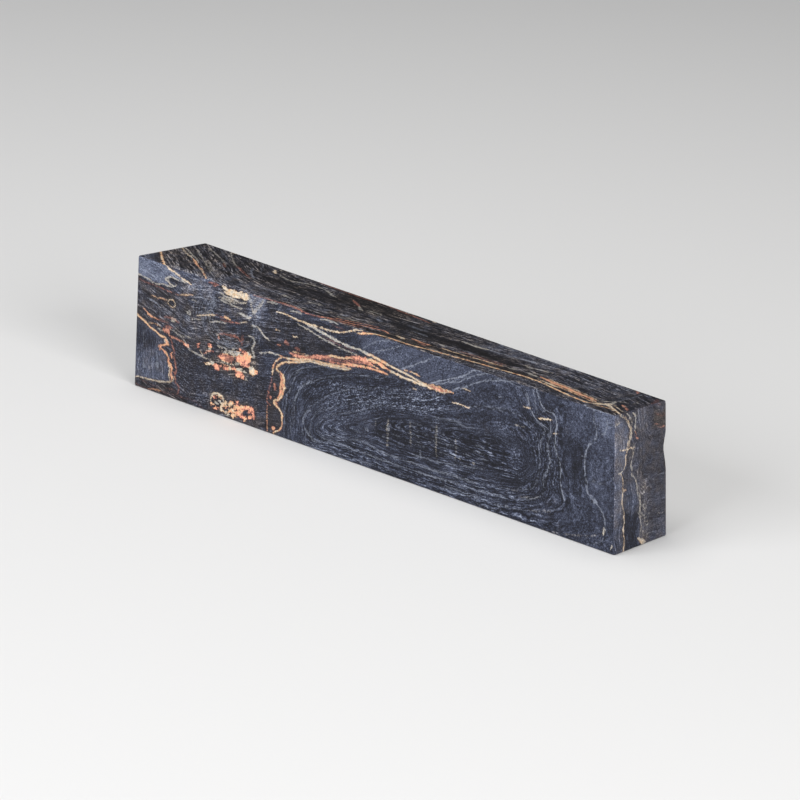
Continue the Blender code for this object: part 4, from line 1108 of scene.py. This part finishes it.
def with_taper(line, half_width):
    """The line with a half-width that narrows towards both ends."""
    gaps = np.linalg.norm(np.diff(line[:, :2], axis=0), axis=1)
    run = np.concatenate([[0], np.cumsum(gaps)])
    to_end = np.minimum(run, run[-1] - run)
    narrowing = TAPER_LEFT + (1 - TAPER_LEFT) * smoothstep(0, TAPER, to_end)
    return np.column_stack([line[:, :2], half_width * narrowing])


def measured_from(line, places, closed):
    """How far each place is from a line, signed by its side, and the line's half-width at its nearest point.

    Beyond an open end the line counts as running straight on, narrower by as much as a place is past it.
    """
    nearest = np.full(len(places), np.inf)
    offset = np.zeros(len(places))
    width = np.zeros(len(places))
    last = len(line) - 2
    for index, (start, end) in enumerate(zip(line, line[1:])):
        run = end[:2] - start[:2]
        length = np.hypot(*run)
        if length < TINY:
            continue
        ahead = run / length
        away = places - start[:2]
        along = away @ ahead
        aside = away @ np.array([-ahead[1], ahead[0]])
        held = np.clip(along, 0, length)
        past = np.abs(along - held)
        distance = np.hypot(past, aside)
        half_width = start[2] + (end[2] - start[2]) * (held / length)
        beyond = ((index == 0) & (along < 0)) | ((index == last) & (along > length))
        beyond &= not closed
        closer = distance < nearest
        offset = np.where(closer, np.where(beyond, aside, np.copysign(distance, aside)), offset)
        width = np.where(closer, half_width - np.where(beyond, past, 0), width)
        nearest = np.where(closer, distance, nearest)
    return offset, width


class Figure:
    """What the material reads at each vertex: the ground's values, the spots, and layers of veins."""

    def __init__(self, places):
        self.places = places
        count = len(places)
        self.ground = {name: np.zeros(count) for name in ("tone", "warmth", "streaks", "flecks")}
        self.spots = {"depth": np.full(count, OFF), "colour": np.zeros(count), "strength": np.zeros(count)}
        self.offset = np.full((LAYERS, count), FAR)
        self.width = np.full((LAYERS, count), OFF)
        self.hue = np.zeros((LAYERS, count))
        self.strength = np.zeros((LAYERS, count))
        self.taken = np.zeros((LAYERS, count), dtype=bool)

    def near(self, points, margin):
        """The vertices in a box round the points."""
        low, high = np.min(points, axis=0)[:2] - margin, np.max(points, axis=0)[:2] + margin
        return np.flatnonzero(np.all((self.places >= low) & (self.places <= high), axis=1))

    def add_patch(self, face, tone, warmth, streaks, flecks, softness, outline):
        outline = face.places(outline)
        here = self.near(outline, softness)
        here = here[face.holds(self.places[here])]
        if len(here) == 0:
            return
        cover = smoothstep(-softness, softness, depth_inside(self.places[here], outline))
        for name, value in (("tone", tone), ("warmth", warmth), ("streaks", streaks), ("flecks", flecks)):
            if value is not None:
                old = self.ground[name][here]
                self.ground[name][here] = old + (value - old) * cover

    def add_heart(self, face, x, y, half_length, half_height, tone, warmth):
        softness = HEART_SOFTNESS * min(half_length, half_height)
        self.add_patch(face, tone, warmth, None, None, softness, ellipse(x, y, half_length, half_height))

    def add_spot(self, face, colour, strength, x, y, half_length, half_width, turn):
        """A closed spot: stores how deep inside its nearest spot each vertex is, in mm."""
        middle = np.array(face.places([(x, y)])[0])
        here = self.near(middle[None], half_length + half_width + CLEARANCE)
        away = self.places[here] - middle
        cosine, sine = math.cos(math.radians(turn)), math.sin(math.radians(turn))
        along = away @ np.array([cosine, sine]) / half_length
        across = away @ np.array([-sine, cosine]) / half_width
        depth = (1 - np.hypot(along, across)) * min(half_length, half_width)
        deeper = depth > self.spots["depth"][here]
        target = here[deeper]
        self.spots["depth"][target] = depth[deeper]
        self.spots["colour"][target] = colour
        self.spots["strength"][target] = strength

    def add_line(self, colour, strength, line, closed=False, only_on=None):
        """Adds a line of (along, up, half-width) points to the layer where it crosses the least."""
        here = self.near(line, line[:, 2].max() + REACH)
        if only_on:
            here = here[only_on.holds(self.places[here])]
        if len(here) == 0:
            return
        offset, width = measured_from(line, self.places[here], closed)
        depth = width - np.abs(offset)
        room = here[depth > -CLEARANCE]
        layer = int(np.argmin([np.count_nonzero(taken[room]) for taken in self.taken]))
        width = width - FADE_RATE * np.maximum(-depth - FADE_FROM, 0)
        stored = self.width[layer, here] - np.abs(self.offset[layer, here])
        stronger = width - np.abs(offset) > stored
        change = (depth > -REACH) & (stronger | ~self.taken[layer, here])
        target = here[change]
        self.offset[layer, target] = offset[change]
        self.width[layer, target] = np.maximum(width[change], OFF)
        self.hue[layer, target] = colour
        self.strength[layer, target] = strength
        self.taken[layer, room] = True

    def add_vein(self, face, colour, strength, half_width, route):
        places = face.places(route)
        if len(places[0]) == 3:
            line = curve_through(places)
        else:
            line = with_taper(curve_through([(*place, 0) for place in places]), half_width)
        self.add_line(colour, strength, line)

    def add_ring(self, face, ring):
        line = closed_curve(face.places(ring), RING_HALF_WIDTH)[::DRAWN_RING_EVERY]
        self.add_line(GREY, RING_STRENGTH, line, closed=True, only_on=face)

    def add_eye(self, face, colour, strength, half_width, x, y, half_length, half_height):
        outline = face.places(ellipse(x, y, half_length, half_height))
        self.add_line(colour, strength, closed_curve(outline, half_width), closed=True)


def ring_places(places):
    """How far in from the outermost growth ring each place is, in mm, measured between the drawn rings."""
    depths = []
    for ring in FRONT_RINGS:
        outline = closed_curve(ring, 0)[:-1:GRAIN_RING_EVERY, :2]
        depths.append(depth_inside(places, outline))
    result = depths[0]
    for index, (depth, inner) in enumerate(zip(depths, depths[1:])):
        share = depth / np.maximum(depth - inner, TINY)
        result = np.where(depth > 0, (index + share) * RING_SPACING, result)
    innermost = (len(depths) - 1) * RING_SPACING + depths[-1]
    return np.where(depths[-1] > 0, innermost, result)


def broad_face_grain(x, z):
    """The grain of the front and back: a bent slope, growth rings, a level heart and an upright end."""
    grain = z + SLOPE_DOWN * np.minimum(x, SLOPE_BEND) - SLOPE_UP * np.maximum(x - SLOPE_BEND, 0)
    places = np.column_stack([x, z])
    for field, blend, inner in (
        (RING_FIELD, RING_BLEND, ring_places(places) + RING_START),
        (HEART_FIELD, HEART_BLEND, z + RING_START + HEART_START),
        (UPRIGHT_FIELD, UPRIGHT_BLEND, x * UPRIGHT_RATE),
    ):
        grain += (inner - grain) * smoothstep(-blend, blend, depth_inside(places, field))
    return grain


def end_grain(y, z):
    """The grain of the end faces: upright near the front, and level behind."""
    upright = y + wave(z, *END_SWAY_FAST) + wave(z, *END_SWAY_SLOW)
    level = END_LEVEL_RATE * z + wave(y, *END_LEVEL_SWAY)
    return upright + (level - upright) * smoothstep(*END_BLEND, y)


def grain_places(block):
    """How far across the grain each vertex is, in mm. The streaks run along lines of equal value."""
    x, y, z = block.figure_places().T
    i, j, k = block.steps.T
    along, up = drift(x, z)
    on_back = j == block.last[1]
    x, z = x - along * on_back, z - up * on_back
    flat = (k == 0) | (k == block.last[2])
    ends = (i == 0) | (i == block.last[0])
    grain = y + np.interp(x, *zip(*TOP_GRAIN))
    broad = ~flat & ~ends
    grain[broad] = broad_face_grain(x[broad], z[broad])
    return np.where(ends, end_grain(y, z), grain)


def add_all(add, *marks):
    """Adds the items of each (face, items) pair, by one of the figure's own functions."""
    for face, items in marks:
        for item in items:
            add(face, *item)


def paint_figure(block):
    """The whole figure, in the order that lets later marks lie over earlier ones."""
    figure = Figure(block.chart())
    # The first patch of the front is the ground of the whole face, so it isn't carried along
    # The copies for the back and base take along the painted highlights of the rounded top front edge.
    back_patches = FRONT_PATCHES[:1] + carried_routes(FRONT_PATCHES[1:])
    base_patches = BASE_PATCHES + turned_routes(TOP_PATCHES[FIRST_TURNED_PATCH:])
    base_veins = BASE_VEINS + turned_routes(TOP_VEINS[FIRST_TURNED_VEIN:])
    rings = [(ring,) for ring in FRONT_RINGS[:RINGS_DRAWN]]
    add_all(
        figure.add_patch, (FRONT, FRONT_PATCHES), (TOP, TOP_PATCHES), (BACK, back_patches),
        (BASE, base_patches), (RIGHT, RIGHT_PATCHES), (LEFT, LEFT_PATCHES),
    )
    add_all(figure.add_heart, (FRONT, FRONT_HEARTS), (BACK, carried_places(FRONT_HEARTS, 0)))
    add_all(
        figure.add_vein, (FRONT, FRONT_VEINS), (TOP, TOP_VEINS), (BACK, carried_routes(FRONT_VEINS)),
        (BASE, base_veins), (RIGHT, RIGHT_VEINS), (LEFT, LEFT_VEINS),
    )
    add_all(figure.add_ring, (FRONT, rings), (BACK, carried_routes(rings)))
    add_all(figure.add_eye, (FRONT, FRONT_EYES), (BACK, carried_places(FRONT_EYES, 3)), (LEFT, LEFT_EYES))
    add_all(
        figure.add_spot, (FRONT, FRONT_SPOTS), (BACK, carried_places(FRONT_SPOTS, 2)),
        (BASE, BASE_SPOTS), (LEFT, LEFT_SPOTS),
    )
    return figure


def put_vectors(mesh, name, *columns):
    """Stores up to three values per vertex under a name that the material reads."""
    unused = [np.zeros_like(columns[0])] * (PER_VECTOR - len(columns))
    layer = mesh.attributes.new(name, "FLOAT_VECTOR", "POINT")
    layer.data.foreach_set("vector", np.stack([*columns, *unused], axis=1).astype(np.float32).ravel())


def make_block():
    block = Block(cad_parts[NODE])
    mesh = bpy.data.meshes.new(PIECE)
    mesh.from_pydata(block.points.tolist(), [], block.quads.tolist())
    mesh.update()
    mesh.shade_smooth()
    figure = paint_figure(block)
    # The ground's tone and the vein layers hold the painted edge highlights too, beside the wood's own
    # figure.
    ground = figure.ground
    put_vectors(mesh, "ground", ground["tone"], ground["warmth"], ground["flecks"])
    put_vectors(mesh, "grain", grain_places(block), ground["streaks"])
    put_vectors(mesh, "spot", *figure.spots.values())
    for layer in range(LAYERS):
        put_vectors(mesh, f"vein_{layer}", figure.offset[layer], figure.width[layer], figure.hue[layer])
    for first in range(0, LAYERS, PER_VECTOR):
        put_vectors(mesh, f"strength_{first}", *figure.strength[first:first + PER_VECTOR])
    piece = bpy.data.objects.new(PIECE, mesh)
    bpy.context.scene.collection.objects.link(piece)
    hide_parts(NODE)
    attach(piece, "root")
    return piece


# The wood's material. Colours are as seen on a screen, from 0 to 255

COOL_GROUND = [
    (0, (14, 14, 22)), (.2, (29, 31, 42)), (.4, (50, 54, 70)), (.6, (78, 84, 103)), (.8, (112, 119, 140)),
    (1, (158, 166, 182)),
]
WARM_GROUND = [
    (0, (15, 12, 14)), (.2, (32, 29, 32)), (.4, (57, 52, 52)), (.6, (86, 79, 77)), (.8, (122, 112, 106)),
    (1, (170, 156, 144)),
]
VEIN_COLOURS = [
    (GREY, (130, 136, 151)), (BONE, (184, 180, 173)), (CREAM, (226, 209, 186)), (TAN, (217, 187, 151)),
    (ORANGE, (228, 168, 127)), (PEACH, (242, 168, 142)), (RED, (152, 98, 86)),
]
PORE_COLOUR, SPOT_RIM_COLOUR, STAIN_COLOUR = (14, 14, 20), (26, 24, 32), (74, 54, 50)
PORE_STRENGTH, SPOT_RIM_STRENGTH, STAIN_STRENGTH = .55, .42, .4

# Even noises: how fast each changes, in turns per mm, its detail and its roughness
EVEN_NOISES = {
    "grain_sway": (.3, 2, .5), "clouds": (.16, 3, .55), "dust": (4.4, 2, .6), "blush": (.5, 3, .5),
    "vein_edge": (1.1, 3, .6), "swell": (.7, 2, .5), "hue": (1.3, 3, .6), "light": (2.2, 3, .7),
    "spot_edge": (1.7, 2, .5), "gloss": (.8, 3, .5),
}
# Noises drawn out along the grain: how fast each changes along it and across it, its detail and roughness
GRAIN_NOISES = {
    "bands": (.02, .8, 1, .5), "lines": (.05, 1.4, 2, .6), "fibres": (.22, 3.6, 2, .6),
    "dashes": (.6, 3.8, 3, .65), "specks": (1.9, 3.4, 2, .6), "pores": (1.3, 4.6, 1, .5),
}
# How far each noise swings the ground's tone, the streaks, a ragged edge, and where a vein breaks up
TONE_SWINGS = {"clouds": .3, "bands": .22, "dashes": .28, "dust": 1.25}
STREAK_SWINGS = {"fibres": 1.8, "dashes": 1.0}
EDGE_SWINGS = {"specks": .7, "dashes": .7}
BREAK_SWINGS = {"dashes": 1.3, "specks": 1.3}
LIGHT_SWINGS = {"light": 1.6, "dashes": .7}
LIGHT_LEVEL = .95
# How far the grain sways, and how far the edges of veins and spots wander, in mm
GRAIN_SWAY, VEIN_WANDER, SPOT_WANDER = 1.0, .6, .9
# How far a vein's width, a mark's hue and the ground's warmth swing, as shares
WIDTH_SWELL, HUE_SHIFT, BLUSH = 2.4, 1.15, 1.0
# What a long pale line adds to the tone, how much more it adds along a dash, and the level of all streaks
LINE_TONE, DASHED_TONE, STREAK_LEVEL = .05, .38, -.04
# What a pale fleck adds to the tone, and the level of all flecks
FLECK_TONE, FLECK_LEVEL = .42, -.15
# How much of a vein's ragged edge a spot has, and how far its edge is moved out, in mm
SPOT_RAGGED, SPOT_GROWTH = .85, .05

# Where a noise, a share or a hue starts and ends its rise from 0 to 1
LINE_RISE, DASH_RISE, SPECK_RISE, PORE_RISE = (.5, .6), (.44, .6), (.48, .62), (.56, .7)
WARM_RISE, SOLID_RISE = (.05, .95), (.18, .62)
TINTED_HUES, STAINING_HUES = (-.05, .4), (.2, .5)
# The same for depths inside a mark, in mm: its edge, the dark or stained wood round it, and its rim
SPOT_EDGE, SPOT_SURROUND = (-.08, .14), (-.4, -.1)
VEIN_EDGE, VEIN_SURROUND = (-.13, .13), (-.6, 0)
RIM_RISE = (.3, 0)
# How far a mark's hue moves on towards its rim
SPOT_RIM_HUE, VEIN_RIM_HUE = .22, .05

IOR, SPECULAR_LEVEL = 1.5, .18
ROUGHNESS, ROUGHNESS_SWING = .42, .14
# The surface's fine relief: how strong and deep it is, and the share of it that each of two noises gives
BUMP_STRENGTH, BUMP_METRES, RELIEF_SHARE = .12, .00004, .5


def srgb(red, green, blue):
    """A colour from 0 to 255 as seen on a screen, as the linear colour that the renderer uses."""
    channels = [value / 255 for value in (red, green, blue)]
    return tuple(c / 12.92 if c <= .04045 else ((c + .055) / 1.055) ** 2.4 for c in channels) + (1.0,)


class Nodes:
    """Short forms for building a node tree. A value given to a socket may be a number, a colour or a link."""

    def __init__(self, tree):
        self.tree = tree

    def fill(self, socket, value):
        if isinstance(value, bpy.types.NodeSocket):
            self.tree.links.new(value, socket)
        elif value is not None:
            socket.default_value = value

    def add(self, kind, inputs=(), **settings):
        node = self.tree.nodes.new(kind)
        for name, value in settings.items():
            setattr(node, name, value)
        for name, value in dict(inputs).items():
            self.fill(node.inputs[name], value)
        return node

    def math(self, operation, first, second=None, third=None):
        inputs = {0: first, 1: second, 2: third}
        return self.add("ShaderNodeMath", inputs, operation=operation).outputs[0]

    def sum(self, first, *others):
        for other in others:
            first = self.math("ADD", first, other)
        return first

    def times(self, first, *others):
        for other in others:
            first = self.math("MULTIPLY", first, other)
        return first

    def step(self, value, low, high):
        """0 below low and 1 above high, with a smooth rise between."""
        inputs = {"Value": value, "From Min": low, "From Max": high}
        return self.add("ShaderNodeMapRange", inputs, interpolation_type="SMOOTHSTEP").outputs[0]

    def mix(self, share, first, second, blend="MIX"):
        node = self.add("ShaderNodeMix", data_type="RGBA", blend_type=blend)
        for socket, value in ((0, share), (6, first), (7, second)):
            self.fill(node.inputs[socket], value)
        return node.outputs[2]

    def ramp(self, value, stops):
        node = self.add("ShaderNodeValToRGB", {"Fac": value})
        for place, _ in stops[1:-1]:
            node.color_ramp.elements.new(place)
        for element, (place, colour) in zip(node.color_ramp.elements, stops):
            element.position = place
            element.color = srgb(*colour)
        return node.outputs["Color"]

    def split(self, vector):
        return tuple(self.add("ShaderNodeSeparateXYZ", {0: vector}).outputs)

    def join(self, x, y, z):
        return self.add("ShaderNodeCombineXYZ", {0: x, 1: y, 2: z}).outputs[0]

    def read(self, name):
        """The three values stored on the mesh under this name."""
        return self.split(self.add("ShaderNodeAttribute", attribute_name=name).outputs["Vector"])

    def noise(self, vector, scale, detail, roughness):
        inputs = {"Vector": vector, "Scale": scale, "Detail": detail, "Roughness": roughness}
        return self.add("ShaderNodeTexNoise", inputs).outputs["Fac"]


class WoodNodes(Nodes):
    """The node tree of the wood, with the noises that its ground, spots and veins share."""

    def __init__(self, tree):
        super().__init__(tree)
        place = self.add("ShaderNodeTexCoord").outputs["Object"]
        per_metre = (1 / MM,) * 3
        in_mm = self.add("ShaderNodeVectorMath", {0: place, 1: per_metre}, operation="MULTIPLY").outputs[0]
        x, y, z = self.split(in_mm)
        aside = self.sum(y, z)
        grain, self.streaks, _ = self.read("grain")
        self.noises = {name: self.noise(in_mm, *settings) for name, settings in EVEN_NOISES.items()}
        grain = self.sum(grain, self.swing("grain_sway", GRAIN_SWAY))
        for name, (slow, fast, detail, roughness) in GRAIN_NOISES.items():
            drawn_out = self.join(self.times(x, slow), self.times(aside, slow), self.times(grain, fast))
            self.noises[name] = self.noise(drawn_out, 1, detail, roughness)

        # How the marks vary: a ragged edge, and swings of a vein's place and width, and of hue and light
        self.ragged = self.sum(*self.swings(EDGE_SWINGS))
        self.wander = self.swing("vein_edge", VEIN_WANDER)
        self.swell = self.sum(self.swing("swell", WIDTH_SWELL), 1)
        self.hue_shift = self.swing("hue", HUE_SHIFT)
        light = self.sum(*self.swings(LIGHT_SWINGS), LIGHT_LEVEL)
        self.light = self.join(light, light, light)

    def swing(self, name, size):
        """A noise from 0 to 1, turned to lie about 0 with this size."""
        return self.math("MULTIPLY_ADD", self.noises[name], size, -size / 2)

    def swings(self, sizes):
        return [self.swing(name, size) for name, size in sizes.items()]

    def rise(self, name, low, high):
        return self.step(self.noises[name], low, high)

    def tinted(self, hue, depth, rim_hue):
        """The colour of a vein or spot, warmer towards its rim. The grey ones keep their hue."""
        rim = self.times(self.step(depth, *RIM_RISE), rim_hue)
        change = self.times(self.sum(self.hue_shift, rim), self.step(hue, *TINTED_HUES))
        return self.mix(1.0, self.ramp(self.sum(hue, change), VEIN_COLOURS), self.light, "MULTIPLY")


def ground_colour(wood, pores):
    """The ground: clouds, long lines and short dashes along the grain, a fine speckle, and dark pores."""
    # The tone read here includes the painted highlights along the rounded top front edge.
    tone, warmth, flecks = wood.read("ground")
    line_tone = wood.sum(wood.times(wood.rise("dashes", *DASH_RISE), DASHED_TONE), LINE_TONE)
    pale_lines = wood.times(wood.rise("lines", *LINE_RISE), line_tone)
    streaked = wood.sum(pale_lines, *wood.swings(STREAK_SWINGS), STREAK_LEVEL)
    flecked = wood.sum(wood.times(wood.rise("specks", *SPECK_RISE), FLECK_TONE), FLECK_LEVEL)
    tone = wood.sum(
        tone, *wood.swings(TONE_SWINGS), wood.times(wood.streaks, streaked), wood.times(flecks, flecked),
    )
    warm_share = wood.step(wood.sum(warmth, wood.swing("blush", BLUSH)), *WARM_RISE)
    colour = wood.mix(warm_share, wood.ramp(tone, COOL_GROUND), wood.ramp(tone, WARM_GROUND))
    return wood.mix(pores, colour, srgb(*PORE_COLOUR))


def with_spots(wood, colour):
    """The spots over a colour, each in a dark rim."""
    depth, hue, strength = wood.read("spot")
    ragged = wood.times(wood.ragged, SPOT_RAGGED)
    depth = wood.sum(depth, ragged, wood.swing("spot_edge", SPOT_WANDER), SPOT_GROWTH)
    rim = wood.times(wood.step(depth, *SPOT_SURROUND), SPOT_RIM_STRENGTH)
    colour = wood.mix(rim, colour, srgb(*SPOT_RIM_COLOUR))
    cover = wood.times(wood.step(depth, *SPOT_EDGE), strength)
    return wood.mix(cover, colour, wood.tinted(hue, depth, SPOT_RIM_HUE))


def with_veins(wood, colour):
    """The veins over a colour. Weak ones break up into dots, and warm ones stain the wood beside them."""
    strengths = [wood.read(f"strength_{first}") for first in range(0, LAYERS, PER_VECTOR)]
    for layer in range(LAYERS):
        offset, width, hue = wood.read(f"vein_{layer}")
        strength = strengths[layer // PER_VECTOR][layer % PER_VECTOR]
        distance = wood.math("ABSOLUTE", wood.sum(offset, wood.wander))
        depth = wood.sum(wood.times(width, wood.swell), wood.times(distance, -1), wood.ragged)
        warm = wood.times(wood.step(hue, *STAINING_HUES), STAIN_STRENGTH)
        stain = wood.times(wood.step(depth, *VEIN_SURROUND), strength, warm)
        colour = wood.mix(stain, colour, srgb(*STAIN_COLOUR))
        solid = wood.step(wood.sum(strength, *wood.swings(BREAK_SWINGS)), *SOLID_RISE)
        cover = wood.times(wood.step(depth, *VEIN_EDGE), strength, solid)
        colour = wood.mix(cover, colour, wood.tinted(hue, depth, VEIN_RIM_HUE))
    return colour


def wood_material():
    material = bpy.data.materials.new("dyed_burl_wood")
    material.use_nodes = True
    surface = material.node_tree.nodes["Principled BSDF"]
    wood = WoodNodes(material.node_tree)
    pores = wood.times(wood.rise("pores", *PORE_RISE), PORE_STRENGTH)
    colour = with_veins(wood, with_spots(wood, ground_colour(wood, pores)))
    wood.fill(surface.inputs["Base Color"], colour)
    wood.fill(surface.inputs["Roughness"], wood.sum(wood.swing("gloss", ROUGHNESS_SWING), ROUGHNESS))
    surface.inputs["IOR"].default_value = IOR
    surface.inputs["Specular IOR Level"].default_value = SPECULAR_LEVEL
    raised = [wood.times(wood.noises[name], RELIEF_SHARE) for name in ("dashes", "specks")]
    height = wood.sum(*raised, wood.times(pores, -1))
    inputs = {"Strength": BUMP_STRENGTH, "Distance": BUMP_METRES, "Height": height}
    wood.fill(surface.inputs["Normal"], wood.add("ShaderNodeBump", inputs).outputs["Normal"])
    return material


# Floor, light and camera

FLOOR_HALF = 3.0
FLOOR_COLOUR, FLOOR_ROUGHNESS, FLOOR_SPECULAR = (.78, .78, .78, 1), .8, .2
LIT_POINT = Vector((0, 0, .015))
SKY_COLOUR, SKY_STRENGTH = (.95, .97, 1, 1), .12


def make_floor():
    corners = [(x * FLOOR_HALF, y * FLOOR_HALF, 0) for x, y in ((-1, -1), (1, -1), (1, 1), (-1, 1))]
    mesh = bpy.data.meshes.new("floor")
    mesh.from_pydata(corners, [], [(0, 1, 2, 3)])
    floor = bpy.data.objects.new("floor", mesh)
    bpy.context.scene.collection.objects.link(floor)
    material = bpy.data.materials.new("pale_floor")
    material.use_nodes = True
    surface = material.node_tree.nodes["Principled BSDF"]
    surface.inputs["Base Color"].default_value = FLOOR_COLOUR
    surface.inputs["Roughness"].default_value = FLOOR_ROUGHNESS
    surface.inputs["Specular IOR Level"].default_value = FLOOR_SPECULAR
    mesh.materials.append(material)


def add_area_light(name, place, size, power, colour):
    light = bpy.data.lights.new(name, "AREA")
    light.shape = "RECTANGLE"
    light.size, light.size_y = size
    light.energy = power
    light.color = colour
    lamp = bpy.data.objects.new(name, light)
    lamp.location = place
    lamp.rotation_euler = (LIT_POINT - Vector(place)).to_track_quat("-Z", "Y").to_euler()
    bpy.context.scene.collection.objects.link(lamp)


def make_lights():
    add_area_light("overhead", place=(-.1, -.05, .9), size=(.7, .7), power=4.2, colour=(1, .99, .97))
    add_area_light("front", place=(-.1, -1.0, .45), size=(1.0, .6), power=9.0, colour=(.98, .985, 1))
    add_area_light("side", place=(1.1, -.3, .4), size=(.6, .6), power=12.0, colour=(1, .99, .98))
    world = bpy.data.worlds.new("studio")
    bpy.context.scene.world = world
    world.use_nodes = True
    background = world.node_tree.nodes["Background"]
    background.inputs["Color"].default_value = SKY_COLOUR
    background.inputs["Strength"].default_value = SKY_STRENGTH


def make_camera():
    camera = bpy.data.cameras.new("camera")
    camera.lens, camera.sensor_width = LENS_MM, SENSOR_MM
    camera.clip_start, camera.clip_end = NEAREST_SEEN, FARTHEST_SEEN
    azimuth, elevation, roll = (math.radians(angle) for angle in (AZIMUTH, ELEVATION, ROLL))
    outward = math.cos(elevation)
    back = Vector((math.sin(azimuth) * outward, -math.cos(azimuth) * outward, math.sin(elevation)))
    level = Vector((0, 0, 1)).cross(back).normalized()
    upright = back.cross(level)
    right = level * math.cos(roll) + upright * math.sin(roll)
    up = upright * math.cos(roll) - level * math.sin(roll)
    low = Vector(cad_box[0])
    place = Vector((low.x, low.y + FOOT_LINE_IN * MM, 0)) + CAMERA_AT
    view = bpy.data.objects.new("camera", camera)
    view.matrix_world = Matrix.Translation(place) @ Matrix((right, up, back)).transposed().to_4x4()
    bpy.context.scene.collection.objects.link(view)
    bpy.context.scene.camera = view


make_block().data.materials.append(wood_material())
make_floor()
make_lights()
make_camera()
bpy.context.scene.view_settings.view_transform = "Standard"
